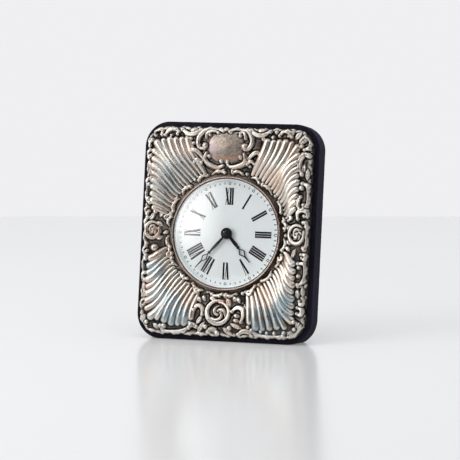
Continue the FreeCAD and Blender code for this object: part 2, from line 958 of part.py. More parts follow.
def train_places():
    return [third_place(), seconds_place(), intermediate_place(), rotor_place(),
            set_arbor_place()]


def front_plate():
    """Front plate with the minute wheel's stud and three moulded posts."""
    plate = movement_blank(front_plate_front, front_plate_back)
    plate = drilled(plate, train_places(), arbor_radius + pivot_gap)
    plate = drilled(plate, [centre_place()], cannon_arbor_radius + pivot_gap)
    x, z = minute_wheel_place()
    pieces = [plate, cylinder(x, z, hour_layer, front_plate_back, arbor_radius)]
    for x, z in post_places():
        pieces.append(cylinder(x, z, front_plate_back, rear_plate_front, post_radius))
        pieces.append(cylinder(x, z, rear_plate_front, rear_plate_back, peg_radius))
    return fuse_all(pieces)


def rear_plate():
    """Rear plate, held on the pegs of the front plate's posts."""
    plate = movement_blank(rear_plate_front, rear_plate_back)
    plate = drilled(plate, train_places(), arbor_radius + pivot_gap)
    plate = drilled(plate, [centre_place()], cannon_arbor_radius + pivot_gap)
    return drilled(plate, post_places(), peg_radius + fit_gap)


def stator_front():
    return magnet_middle() - stator_thickness / 2


def coil_axis_depth():
    return (front_plate_back + rear_plate_front) / 2


def stator():
    """Soft-iron plate: a ring round the rotor and two legs to the coil core."""
    front = stator_front()
    back = front + stator_thickness
    rx, rz = rotor_place()
    outer = rotor_magnet_radius + rotor_air_gap + stator_ring_width
    left = coil_x - coil_length / 2 - core_tab_length / 2
    right = coil_x + coil_length / 2 + core_tab_length / 2
    half = core_tab_width / 2
    cz = axis_height + coil_z
    low = rz - outer + half
    plate = cylinder(rx, rz, front, back, outer)
    bars = [[(left - half, cz + half), (rx - half, rz), (rx + half, rz - half),
             (left + half, cz - half)],
            [(rx, rz + half), (rx, low), (right - half, low), (right - half, rz)],
            [(right - half, low), (right + half, low), (right + half, cz + half),
             (right - half, cz + half)]]
    for points in bars:
        plate = plate.fuse(polygon_prism(points, front, back))
    tab = polygon_prism([(left - half, cz - half), (left + half, cz - half),
                         (left + half, cz + half), (left - half, cz + half)], front, back)
    plate = plate.fuse(tab)
    return plate.cut(cylinder(rx, rz, front - overrun, back + overrun,
                              rotor_magnet_radius + rotor_air_gap))


def coil_box(first, last, half):
    """A square bar along X on the coil's axis."""
    return Part.makeBox(last - first, half + half, half + half,
                        V(first, coil_axis_depth() - half, axis_height + coil_z - half))


def coil_half():
    """Half the bobbin's length, between the core's two tabs."""
    return (coil_length + core_tab_length - core_tab_width) / 2 - fit_gap


def coil_core():
    """Square core bar with flat tabs that lie on the stator."""
    z = axis_height + coil_z
    front = stator_front() + stator_thickness
    half = core_tab_width / 2
    ends = (coil_x - (coil_length + core_tab_length) / 2,
            coil_x + (coil_length + core_tab_length) / 2)
    pieces = [coil_box(ends[0] + half, ends[1] - half, coil_core_half)]
    for end in ends:
        pieces.append(Part.makeBox(core_tab_width, coil_axis_depth() + coil_core_half - front,
                                   core_tab_width, V(end - half, front, z - half)))
    return fuse_all(pieces)


def coil_bobbin():
    """Square sleeve with a flange at each end."""
    half = coil_half()
    pieces = [coil_box(coil_x - half, coil_x + half, coil_core_half + coil_bobbin_wall)]
    for end in (coil_x - half, coil_x + half - coil_flange_thickness):
        pieces.append(coil_box(end, end + coil_flange_thickness, coil_flange_half))
    bore = coil_box(coil_x - coil_length, coil_x + coil_length, coil_core_half + fit_gap)
    return fuse_all(pieces).cut(bore)


def coil_winding():
    """Wound wire as one round body on the square sleeve."""
    half = coil_half() - coil_flange_thickness - fit_gap
    winding = Part.makeCylinder(coil_radius, half + half,
                                V(coil_x - half, coil_axis_depth(), axis_height + coil_z),
                                V(1, 0, 0))
    return winding.cut(coil_box(coil_x - coil_length, coil_x + coil_length,
                                coil_core_half + coil_bobbin_wall + fit_gap))


def board_front():
    return rear_plate_back + board_gap


def circuit_board():
    """Stands on the rear plate on two short feet."""
    front = board_front()
    cz = axis_height + board_z
    board = Part.makeBox(board_width, board_thickness, board_height,
                         V(board_x - board_width / 2, front, cz - board_height / 2))
    for side in (-1, 1):
        x = board_x + side * (board_width / 2 - post_radius)
        z = cz - board_height / 2 + post_radius
        board = board.fuse(cylinder(x, z, rear_plate_back, front, peg_radius))
    for x, z in train_places() + [centre_place()]:
        board = board.cut(cylinder(x, z, front - board_gap, front + board_thickness + overrun,
                                   cannon_arbor_radius + layer_gap))
    return board


def quartz_can():
    depth = board_front() + board_thickness + can_radius
    z = axis_height + board_z - board_height / 4
    return Part.makeCylinder(can_radius, can_length, V(board_x - can_length / 2, depth, z),
                             V(1, 0, 0))


def chip():
    front = board_front() + board_thickness
    z = axis_height + board_z + board_height / 4
    return Part.makeBox(chip_size, chip_height, chip_size,
                        V(board_x + board_width / 4, front, z - chip_size / 2))


# Battery, its holder and cap


def battery_back():
    return cup_back - battery_cap_step - fit_gap - cup_back_wall


def battery_front():
    return battery_back() - battery_thickness


def battery():
    x, z = battery_x, axis_height + battery_z
    step = contact_thickness
    cell = cylinder(x, z, battery_front() + step, battery_back(), battery_radius)
    pole = cylinder(x, z, battery_front(), battery_front() + step, battery_radius * battery_pole_share)
    return cell.fuse(pole)


def holder_front():
    return battery_front() - contact_thickness - fit_gap - movement_plate_thickness


def battery_holder():
    """Round well under the battery, with a slot for the side contact."""
    x, z = battery_x, axis_height + battery_z
    inner = battery_radius + battery_gap
    well = cylinder(x, z, holder_front(), cup_floor, inner + holder_wall)
    floor = holder_front() + movement_plate_thickness
    well = well.cut(cylinder(x, z, floor, cup_floor + overrun, inner))
    slot = Part.makeBox(contact_slot_width, cup_floor - floor, holder_wall + battery_radius,
                        V(x - contact_slot_width / 2, floor, z + battery_radius / 2))
    return well.cut(slot)


def contact_minus():
    """Flat spring under the battery that leads towards the board."""
    x, z = battery_x, axis_height + battery_z
    front = holder_front() + movement_plate_thickness
    disc = cylinder(x, z, front, front + contact_thickness, battery_radius / 2)
    arm = Part.makeBox(contact_width, contact_thickness, battery_radius,
                       V(x - contact_width / 2, front, z))
    return disc.fuse(arm)


def contact_plus():
    """Leaf in the holder's slot that presses on the battery's side."""
    x, z = battery_x, axis_height + battery_z
    front = battery_front() + contact_thickness + contact_thickness
    return Part.makeBox(contact_width, cup_floor - fit_gap - front, battery_gap + contact_thickness,
                        V(x - contact_width / 2, front, z + battery_radius + fit_gap))


def battery_cap():
    """Round door with a coin slot; a quarter turn frees it."""
    x, z = battery_x, axis_height + battery_z
    front = cup_back - battery_cap_step
    rim = cylinder(x, z, front, cup_back, battery_radius + battery_cap_rim)
    plug = cylinder(x, z, battery_back() + fit_gap, front + fit_gap,
                    battery_radius - holder_wall)
    cap = rim.fuse(plug)
    slot = Part.makeBox(battery_radius + battery_radius, coin_slot_depth + overrun, coin_slot_width,
                        V(x - battery_radius, cup_back - coin_slot_depth,
                          z - coin_slot_width / 2))
    return cap.cut(slot)


# Hands


def hand_outline(length, shaft_share, diamond_share):
    """Right half of a hand from the collar to the tip, as X and Z points."""
    shaft_end = length * shaft_share
    diamond_mid = length * (shaft_share + diamond_share) / 2
    diamond_end = length * diamond_share
    return [(hand_shaft_start_width / 2, 0), (hand_shaft_end_width / 2, shaft_end - hand_rim),
            (hand_shaft_end_width / 2 + hand_rim, shaft_end),
            (hand_shaft_end_width / 4, shaft_end + hand_rim),
            (hand_diamond_width / 2, diamond_mid), (hand_tip_width, diamond_end),
            (hand_tip_width / 2, length)]


def open_hand(length, shares, back, angle_deg, bore):
    """A flat hand with a bead, an open diamond and a fine point."""
    shaft_share, diamond_share = shares
    right = hand_outline(length, shaft_share, diamond_share)
    left = [(-x, z) for x, z in reversed(right)]
    blade = polygon_prism(right + left, back - hand_thickness, back)
    middle = length * (shaft_share + diamond_share) / 2
    tall = length * (diamond_share - shaft_share) / 2 - hand_rim - hand_rim
    wide = hand_diamond_width / 2 - hand_rim
    window = polygon_prism([(0, middle - tall), (wide, middle), (0, middle + tall),
                            (-wide, middle)], back - hand_thickness - overrun, back + overrun)
    hand = blade.cut(window)
    hand = hand.fuse(cylinder(0, 0, back - hand_thickness, back, hand_collar_radius))
    hand.rotate(V(0, 0, 0), V(0, 1, 0), angle_deg)
    hand.translate(V(0, 0, axis_height))
    return hand.cut(cylinder(0, axis_height, back - hand_thickness - overrun, back + overrun,
                             bore))


def hour_hand():
    bore = cannon_arbor_radius + hour_pipe_gap + hour_pipe_wall
    return open_hand(hour_hand_length, hour_hand_shares, hour_hand_back, hour_hand_deg, bore)


def minute_hand():
    return open_hand(minute_hand_length, minute_hand_shares, minute_hand_back,
                     minute_hand_deg, cannon_arbor_radius)


def minute_hand_cap():
    """Domed black cap pressed on the front of the minute arbor."""
    back = minute_hand_back - hand_thickness
    front = back - cap_height
    shoulder = back - cap_height * cap_shoulder_share / 2
    profile = [V(0, back, 0), V(cap_radius, back, 0), V(cap_radius, shoulder, 0),
               V(cap_radius * cap_shoulder_share, (front + shoulder) / 2, 0),
               V(cap_radius * cap_crown_share, front, 0), V(0, front, 0)]
    face = Part.Face(Part.makePolygon(profile + profile[:1]))
    dome = face.revolve(V(0, 0, 0), V(0, 1, 0), 360)
    dome.translate(V(0, 0, axis_height))
    return dome.cut(cylinder(0, axis_height, back - cap_base, back + overrun,
                             cannon_arbor_radius))


# Easel strut, drawn closed against the back, then swung open about its pin


def swung(shape):
    """Swings a strut piece from closed to open about the hinge pin."""
    shape.rotate(V(0, pivot_depth, pivot_height), V(1, 0, 0), strut_open_deg)
    return shape


def strut_outline(inset):
    """The strut's tapered outline with a curved waist, as a face at Y = 0."""
    top = pivot_height - strut_top_gap - inset
    bottom = pivot_height - strut_length - overrun
    half_top = strut_top_width / 2 - inset
    half_waist = strut_waist_width / 2 - inset
    half_foot = strut_foot_width / 2 - inset
    middle = bottom + (top - bottom) * strut_waist_share
    radius = strut_corner_radius - inset
    bend = radius * (1 - math.sqrt(1 / 2))
    right = [Part.Arc(V(half_foot, 0, bottom), V(half_waist, 0, middle),
                      V(half_top, 0, top - radius)).toShape(),
             Part.Arc(V(half_top, 0, top - radius), V(half_top - bend, 0, top - bend),
                      V(half_top - radius, 0, top)).toShape()]
    left = [Part.Arc(V(-half_top + radius, 0, top), V(-half_top + bend, 0, top - bend),
                     V(-half_top, 0, top - radius)).toShape(),
            Part.Arc(V(-half_top, 0, top - radius), V(-half_waist, 0, middle),
                     V(-half_foot, 0, bottom)).toShape()]
    across_top = Part.makeLine(V(half_top - radius, 0, top), V(-half_top + radius, 0, top))
    across_foot = Part.makeLine(V(-half_foot, 0, bottom), V(half_foot, 0, bottom))
    return Part.Face(Part.Wire(right + [across_top] + left + [across_foot]))


def strut_slab(inset, front, back):
    face = strut_outline(inset)
    face.translate(V(0, front, 0))
    return face.extrude(V(0, back - front, 0))


def strut_front():
    return panel_back + strut_closed_gap


def strut_back():
    return strut_front() + strut_thickness


def ground_cut(lift):
    """Everything below the level plane that the open strut's foot stands on."""
    far = strut_length
    front = body_depth
    corners = [V(-far, front, front * lean_rise + lift), V(-far, far, far * lean_rise + lift),
               V(-far, far, -far), V(-far, front, -far)]
    face = Part.Face(Part.makePolygon(corners + corners[:1]))
    return face.extrude(V(far + far, 0, 0))


def strut_hollow():
    return strut_slab(strut_velvet, strut_front() + strut_velvet, strut_back() - strut_velvet)


def strut_board():
    board = strut_hollow().cut(fuse_all(strut_screw_bars(fit_gap)))
    return swung(board).cut(ground_cut(strut_velvet))


def strut_cover():
    cover = strut_slab(0, strut_front(), strut_back()).cut(strut_hollow())
    cover = cover.cut(fuse_all(strut_screw_bars(fit_gap)))
    sole = swung(strut_slab(0, strut_front(), strut_back()))
    sole = sole.cut(ground_cut(0)).common(ground_cut(strut_velvet))
    return swung(cover).cut(ground_cut(strut_velvet - sole_lap)).fuse(sole)


def knuckle(first, last):
    return Part.makeCylinder(knuckle_radius, last - first,
                             V(first, pivot_depth, pivot_height), V(1, 0, 0))


def pin_hole():
    return Part.makeCylinder(hinge_pin_radius + hinge_pin_gap, leaf_width + leaf_width,
                             V(-leaf_width, pivot_depth, pivot_height), V(1, 0, 0))


def hinge_screw_places():
    """Two screws of the fixed leaf, either side of the stop tab."""
    middle = pivot_height - leaf_drop + leaf_height / 2
    side = leaf_width / 2 - hinge_screw_head_radius - leaf_corner_radius / 2
    return [(-side, middle), (side, middle)]


def hinge_screw_bars(clearance):
    """Room for the fixed leaf's screw shanks."""
    back = panel_back + leaf_thickness
    return [cylinder(x, z, back - hinge_screw_length - clearance, back,
                     hinge_screw_radius + clearance) for x, z in hinge_screw_places()]


def ear(first):
    """One upright ear of the fixed leaf, from the plate to round the pin."""
    foot = Part.makeBox(ear_thickness, pivot_depth - panel_back, ear_radius + ear_radius,
                        V(first, panel_back, pivot_height - ear_radius))
    end = Part.makeCylinder(ear_radius, ear_thickness, V(first, pivot_depth, pivot_height),
                            V(1, 0, 0))
    return foot.fuse(end)


def hinge_leaf_fixed():
    """Plate screwed to the back, with two ears that carry the pin."""
    middle = pivot_height - leaf_drop + leaf_height / 2
    leaf = rounded_plate(leaf_width, leaf_height, leaf_corner_radius, 0, middle, panel_back,
                         panel_back + leaf_thickness)
    inner = knuckle_length / 2 + knuckle_gap
    plate = fuse_all([leaf, ear(inner), ear(-inner - ear_thickness)])
    return plate.cut(pin_hole()).cut(fuse_all(hinge_screw_bars(fit_gap)))


def hinge_screws():
    """Round-headed screws of the fixed leaf."""
    seat = panel_back + leaf_thickness
    screws = []
    for x, z in hinge_screw_places():
        shank = cylinder(x, z, seat - hinge_screw_length, seat + fit_gap, hinge_screw_radius)
        head = cylinder(x, z, seat, seat + hinge_screw_head_height, hinge_screw_head_radius)
        screws.append(shank.fuse(head))
    return Part.makeCompound(screws)


def hinge_pin():
    half = knuckle_length / 2 + knuckle_gap + ear_thickness
    pin = Part.makeCylinder(hinge_pin_radius, half + half + pin_head_length,
                            V(-half, pivot_depth, pivot_height), V(1, 0, 0))
    head = Part.makeCylinder(pin_head_radius, pin_head_length,
                             V(half, pivot_depth, pivot_height), V(1, 0, 0))
    return pin.fuse(head)


def strut_screw_places():
    low = pivot_height - strut_leaf_length + hinge_screw_head_radius + leaf_corner_radius / 2
    side = strut_leaf_width / 2 - hinge_screw_head_radius - leaf_corner_radius / 2
    return [(-side, low), (side, low)]


def strut_screw_bars(clearance):
    seat = strut_back() + leaf_thickness
    return [cylinder(x, z, seat - strut_screw_length - clearance, seat,
                     hinge_screw_radius + clearance) for x, z in strut_screw_places()]


def stop_reach():
    """How far the tab rises past the pin, so that it meets the fixed leaf when open."""
    lever = leaf_back - leaf_thickness - pivot_depth
    drop = pivot_depth - panel_back - leaf_thickness - stop_gap
    return (lever * open_cosine + drop) / open_sine


def hinge_leaf_strut():
    """Leaf on the strut's rear with its rolled knuckle and the tab that stops the swing."""
    front = leaf_back - leaf_thickness
    top = pivot_height - strut_top_gap
    height = strut_leaf_length - strut_top_gap
    leaf = rounded_plate(strut_leaf_width, height, leaf_corner_radius, 0, top - height / 2,
                         front, leaf_back)
    half = knuckle_length / 2
    low = top - leaf_corner_radius
    tab = Part.makeBox(knuckle_length, leaf_thickness, pivot_height + stop_reach() - low,
                       V(-half, front, low))
    plate = fuse_all([leaf, tab, knuckle(-half, half)])
    return swung(plate.cut(pin_hole()).cut(fuse_all(strut_screw_bars(fit_gap))))


def strut_screws():
    seat = strut_back() + leaf_thickness
    screws = []
    for x, z in strut_screw_places():
        shank = cylinder(x, z, seat - strut_screw_length, seat + fit_gap, hinge_screw_radius)
        head = cylinder(x, z, seat, seat + hinge_screw_head_height, hinge_screw_head_radius)
        screws.append(shank.fuse(head))
    return swung(Part.makeCompound(screws))


# Every node, then the lean and the move to the origin

nodes = {
    "wood_core": wood_core,
    "velvet_cover": velvet_cover,
    "back_panel": back_panel,
    "silver_front": silver_front,
    "relief_filler": relief_filler,
    "hinge_leaf_fixed": hinge_leaf_fixed,
    "hinge_pin": hinge_pin,
    "hinge_screws": hinge_screws,
    "strut_board": strut_board,
    "strut_cover": strut_cover,
    "hinge_leaf_strut": hinge_leaf_strut,
    "strut_screws": strut_screws,
    "bezel_ring": bezel_ring,
    "glass_lens": glass_lens,
    "insert_cup": insert_cup,
    "grip_pads": grip_pads,
    "dial_plate": dial_plate,
    "front_plate": front_plate,
    "rear_plate": rear_plate,
    "stator": stator,
    "coil_core": coil_core,
    "coil_bobbin": coil_bobbin,
    "coil_winding": coil_winding,
    "circuit_board": circuit_board,
    "quartz_can": quartz_can,
    "chip": chip,
    "battery_holder": battery_holder,
    "battery": battery,
    "contact_minus": contact_minus,
    "contact_plus": contact_plus,
    "battery_cap": battery_cap,
    "rotor_pinion": rotor_pinion,
    "rotor_magnet": rotor_magnet,
    "intermediate_wheel": intermediate_wheel,
    "seconds_wheel": seconds_wheel,
    "third_wheel": third_wheel,
    "centre_wheel": centre_wheel,
    "minute_arbor": minute_arbor,
    "minute_wheel": minute_wheel,
    "hour_wheel": hour_wheel,
    "set_arbor": set_arbor,
    "set_knob": set_knob,
    "hour_hand": hour_hand,
    "minute_hand": minute_hand,
    "minute_hand_cap": minute_hand_cap,
}


def leaned(shape):
    """Leans a finished shape back about the front bottom edge."""
    shape.rotate(V(0, 0, 0), V(1, 0, 0), -lean_deg)
    return shape


def main():
    os.makedirs("parts", exist_ok=True)
    shapes = {name: leaned(build()) for name, build in nodes.items()}
    front = shapes["silver_front"].optimalBoundingBox(False, False).YMin
    back = shapes["strut_cover"].optimalBoundingBox(False, False).YMax
    middle = (front + back) / 2
    print("shift along Y", -middle, "front", front, "back", back)
    for name, shape in shapes.items():
        shape.translate(V(0, -middle, 0))
        shape.exportStep("parts/" + name + ".step")
        print(name, len(shape.Solids), round(shape.Volume, 3), shape.isValid())


main()
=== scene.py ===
import json
import logging
import math
from dataclasses import dataclass, field
from enum import Enum
from typing import Sequence

import bpy
import numpy as np
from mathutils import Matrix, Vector

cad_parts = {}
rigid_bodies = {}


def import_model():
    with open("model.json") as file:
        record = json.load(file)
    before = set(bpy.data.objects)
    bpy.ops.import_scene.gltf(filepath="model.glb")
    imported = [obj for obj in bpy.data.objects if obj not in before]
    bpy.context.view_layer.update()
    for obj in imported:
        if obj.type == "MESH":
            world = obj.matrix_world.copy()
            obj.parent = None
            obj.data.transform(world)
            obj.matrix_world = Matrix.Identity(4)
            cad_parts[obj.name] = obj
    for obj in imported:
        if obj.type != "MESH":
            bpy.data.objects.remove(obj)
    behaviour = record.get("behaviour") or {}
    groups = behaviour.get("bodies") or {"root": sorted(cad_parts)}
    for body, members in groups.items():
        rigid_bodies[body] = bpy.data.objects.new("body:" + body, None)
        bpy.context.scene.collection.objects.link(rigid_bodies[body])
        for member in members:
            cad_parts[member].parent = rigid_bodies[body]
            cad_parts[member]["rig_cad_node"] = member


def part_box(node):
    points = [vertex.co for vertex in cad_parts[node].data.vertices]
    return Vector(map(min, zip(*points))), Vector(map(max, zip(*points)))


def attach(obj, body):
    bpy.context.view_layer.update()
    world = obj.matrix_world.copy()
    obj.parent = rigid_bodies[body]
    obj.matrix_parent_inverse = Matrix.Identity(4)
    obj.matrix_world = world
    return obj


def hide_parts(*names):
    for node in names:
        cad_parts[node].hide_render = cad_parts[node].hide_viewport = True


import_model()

LOG = logging.getLogger("desk_clock")
MM = 0.001
Array = np.ndarray
Piece = bpy.types.Object
Material = bpy.types.Material
Socket = bpy.types.NodeSocket
Point = tuple[float, float]
Pair = tuple[float, float]
Colour = tuple[float, float, float]
Fade = tuple[float, float, float]
Span = tuple[float, float, float, float]
Ball = tuple[float, float, float]
Scroll = tuple[float, tuple[Point, ...]]


class Body(Enum):
    """The moving bodies that the new pieces ride on."""

    STAND = "stand"
    STRUT = "strut"
    UNIT = "clock_unit"
    HOUR = "hour_work"
    MINUTE = "minute_work"


class Section(Enum):
    """How a raised line of the silver is shaped across its width."""

    ROUND = "round"
    CHANNEL = "channel"
    LEAF = "leaf"
    FLUTE = "flute"

    def form(self, across: Array, gap: Array, along: Array) -> Array:
        """Gives a line's height as a share of its rise.

        Args:
            across: Distance from its middle as a share of half its width.
            gap: The same distance in millimetres.
            along: Place along it from 0 to 1.

        Returns:
            The share of the rise at each place.
        """
        dome = (1 - across**2) ** 0.5
        if self is Section.CHANNEL:
            lip_place, lip_width, lip_rise, floor = 0.6, 0.26, 0.34, 0.80
            lips = floor + lip_rise * np.exp(-((across - lip_place) / lip_width) ** 2)
            return np.cos(across * math.pi / 2) ** 0.8 * lips
        if self is Section.LEAF:
            rib_depth, rib_rate, vein_depth, vein_width = 0.14, 34.0, 0.45, 0.28
            ribs = 0.86 + rib_depth * np.cos(along * rib_rate)
            return dome * ribs * (1 - vein_depth * np.exp(-(gap / vein_width) ** 2))
        if self is Section.FLUTE:
            root_height, climb = 0.5, 1.1
            return (1 - across**2.2) ** 0.62 * np.clip(root_height + along * climb, 0, 1)
        return dome


@dataclass(frozen=True)
class LeaningFrame:
    """The clock's own upright frame and how it leans in the row frame."""

    lean_deg: float = 8.5
    axis_height: float = 61.4
    foot_y: float = field(default_factory=lambda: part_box("velvet_cover")[0].y / MM)

    def to_row(self, points: Array) -> Array:
        """Leans points of the upright frame into the row frame.

        Args:
            points: Rows of X right, Y into the clock, Z up, in millimetres.

        Returns:
            Rows of row-frame places in metres.
        """
        x, y, z = np.asarray(points, dtype=float).T
        deep = y * math.cos(self.lean) + z * math.sin(self.lean) + self.foot_y
        high = z * math.cos(self.lean) - y * math.sin(self.lean)
        return np.column_stack((x, deep, high)) * MM

    @property
    def lean(self) -> float:
        """How far the clock leans back, in radians."""
        return math.radians(self.lean_deg)

    @property
    def rise(self) -> float:
        """How far the level ground climbs per millimetre of depth."""
        return math.tan(self.lean)


FRAME = LeaningFrame()


def make_piece(name: str, points: Array, faces: Sequence[Sequence[int]], body: Body,
               smooth: bool = True) -> Piece:
    """Makes a mesh piece from upright-frame points and sets it on its body.

    Args:
        name: The piece's name.
        points: Rows of upright-frame places in millimetres.
        faces: Corner numbers of each face, wound so that they face outwards.
        body: The body that the piece rides on.
        smooth: Whether its faces are shaded smoothly.

    Returns:
        The new object.
    """
    mesh = bpy.data.meshes.new(name)
    mesh.from_pydata(FRAME.to_row(points).tolist(), [], [list(map(int, f)) for f in faces])
    mesh.validate()
    mesh.polygons.foreach_set("use_smooth", [smooth] * len(mesh.polygons))
    mesh.update()
    piece = bpy.data.objects.new(name, mesh)
    bpy.context.scene.collection.objects.link(piece)
    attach(piece, body.value)
    LOG.info("%s: %d faces on %s", name, len(mesh.polygons), body.value)
    return piece


def grid_faces(rows: int, columns: int, closed: bool, flip: bool = False) -> list[tuple[int, ...]]:
    """Numbers the quads between the rows of a swept surface.

    Args:
        rows: How many rows of points there are.
        columns: How many points each row has.
        closed: Whether each row runs round into itself.
        flip: Whether the quads are wound the other way.

    Returns:
        The corner numbers of each quad.
    """
    faces = []
    for i in range(rows - 1):
        for j in range(columns if closed else columns - 1):
            k = (j + 1) % columns
            quad = (i * columns + j, i * columns + k, (i + 1) * columns + k, (i + 1) * columns + j)
            faces.append(quad[::-1] if flip else quad)
    return faces


def slabs(shapes: Sequence[Sequence[Point]], front: float, back: float, closed: bool
          ) -> tuple[Array, list[tuple[int, ...]]]:
    """Gives flat shapes about the dial's axis a thickness.

    Args:
        shapes: The corners of each convex shape, right and up.
        front: The depth of their front faces.
        back: The depth of their back faces.
        closed: Whether the back faces are there.

    Returns:
        Upright-frame points, and the corner numbers of each face.
    """
    points, faces = [], []
    for shape in shapes:
        ring = list(shape)
        turned = ring[1:] + ring[:1]
        area = sum(a[0] * b[1] - b[0] * a[1] for a, b in zip(ring, turned))
        ring = ring if area > 0 else ring[::-1]
        first, count = len(points), len(ring)
        for depth in (front, back):
            points += [(x, depth, z + FRAME.axis_height) for x, z in ring]
        faces.append(tuple(range(first, first + count)))
        if closed:
            faces.append(tuple(range(first + 2 * count - 1, first + count - 1, -1)))
        for k in range(count):
            after = (k + 1) % count
            faces.append((first + after, first + k, first + count + k, first + count + after))
    return np.array(points), faces


def corner_distance(du: Array, dv: Array) -> Array:
    """Gives how far places lie from a box, below 0 inside it, from how far past its sides."""
    return np.hypot(np.maximum(du, 0), np.maximum(dv, 0)) + np.minimum(np.maximum(du, dv), 0)


def fade(values: Array, start: float, reach: float) -> Array:
    """Gives shares that rise from 0 at a start to 1 over a reach."""
    return np.clip((values - start) / reach, 0, 1)


def polar(radius: float, turn: float) -> Point:
    """Gives the place at a radius and a turn in radians."""
    return radius * math.cos(turn), radius * math.sin(turn)


# ---------------------------------------------------------------- finishes


@dataclass(frozen=True)
class Grain:
    """A soft random pattern, and how deep it shows where it is used as relief."""

    scale: float
    detail: float = 2.0
    stretch: Colour = (1.0, 1.0, 1.0)
    depth_mm: float = 0.0
    strength: float = 1.0


class TreeBench:
    """Adds nodes to a node tree from short calls."""

    def __init__(self, tree: bpy.types.NodeTree) -> None:
        """Clears the node tree of a material or of the world, to work on it."""
        self.tree = tree
        self.tree.nodes.clear()

    def new(self, kind: str, **sockets: object) -> bpy.types.Node:
        """Adds a node and fills its inputs with values or links.

        Args:
            kind: The node's type name.
            **sockets: Input names, with _ for a space, and what goes into them.

        Returns:
            The new node.
        """
        node = self.tree.nodes.new(kind)
        for key, value in sockets.items():
            self.feed(node.inputs[key.replace("_", " ")], value)
        return node

    def feed(self, socket: Socket, value: object) -> None:
        """Puts a value or another node's output into an input.

        Args:
            socket: The input.
            value: A number, a colour, a vector or an output.
        """
        if isinstance(value, Socket):
            self.tree.links.new(value, socket)
        elif isinstance(value, tuple) and len(value) == 3 and socket.type == "RGBA":
            socket.default_value = (*value, 1.0)
        else:
            socket.default_value = value

    def sums(self, kind: str, first: object, second: object) -> Socket:
        """Works one simple result out of two values.

        Args:
            kind: The operation's name.
            first: The first value.
            second: The second value.

        Returns:
            The result.
        """
        node = self.new("ShaderNodeMath")
        node.operation = kind
        self.feed(node.inputs[0], first)
        self.feed(node.inputs[1], second)
        return node.outputs[0]

    def weigh(self, first: object, second: object, shares: Pair) -> Socket:
        """Adds two values, each in its own share."""
        return self.sums("ADD", self.sums("MULTIPLY", first, shares[0]),
                         self.sums("MULTIPLY", second, shares[1]))

    def any_ray(self, *kinds: str) -> Socket:
        """Tells whether a ray is one of some kinds.

        Args:
            *kinds: The names of the kinds.

        Returns:
            1 for a ray of one of those kinds and 0 for any other.
        """
        path = self.new("ShaderNodeLightPath")
        found = path.outputs[kinds[0]]
        for kind in kinds[1:]:
            found = self.sums("MAXIMUM", found, path.outputs[kind])
        return found

    def mix_shaders(self, share: object, first: Socket, second: Socket) -> Socket:
        """Mixes two shaders.

        Args:
            share: How much of the second there is.
            first: The shader at 0.
            second: The shader at 1.

        Returns:
            The mixed shader.
        """
        node = self.new("ShaderNodeMixShader")
        for socket, entry in zip(node.inputs, (share, first, second)):
            self.feed(socket, entry)
        return node.outputs["Shader"]


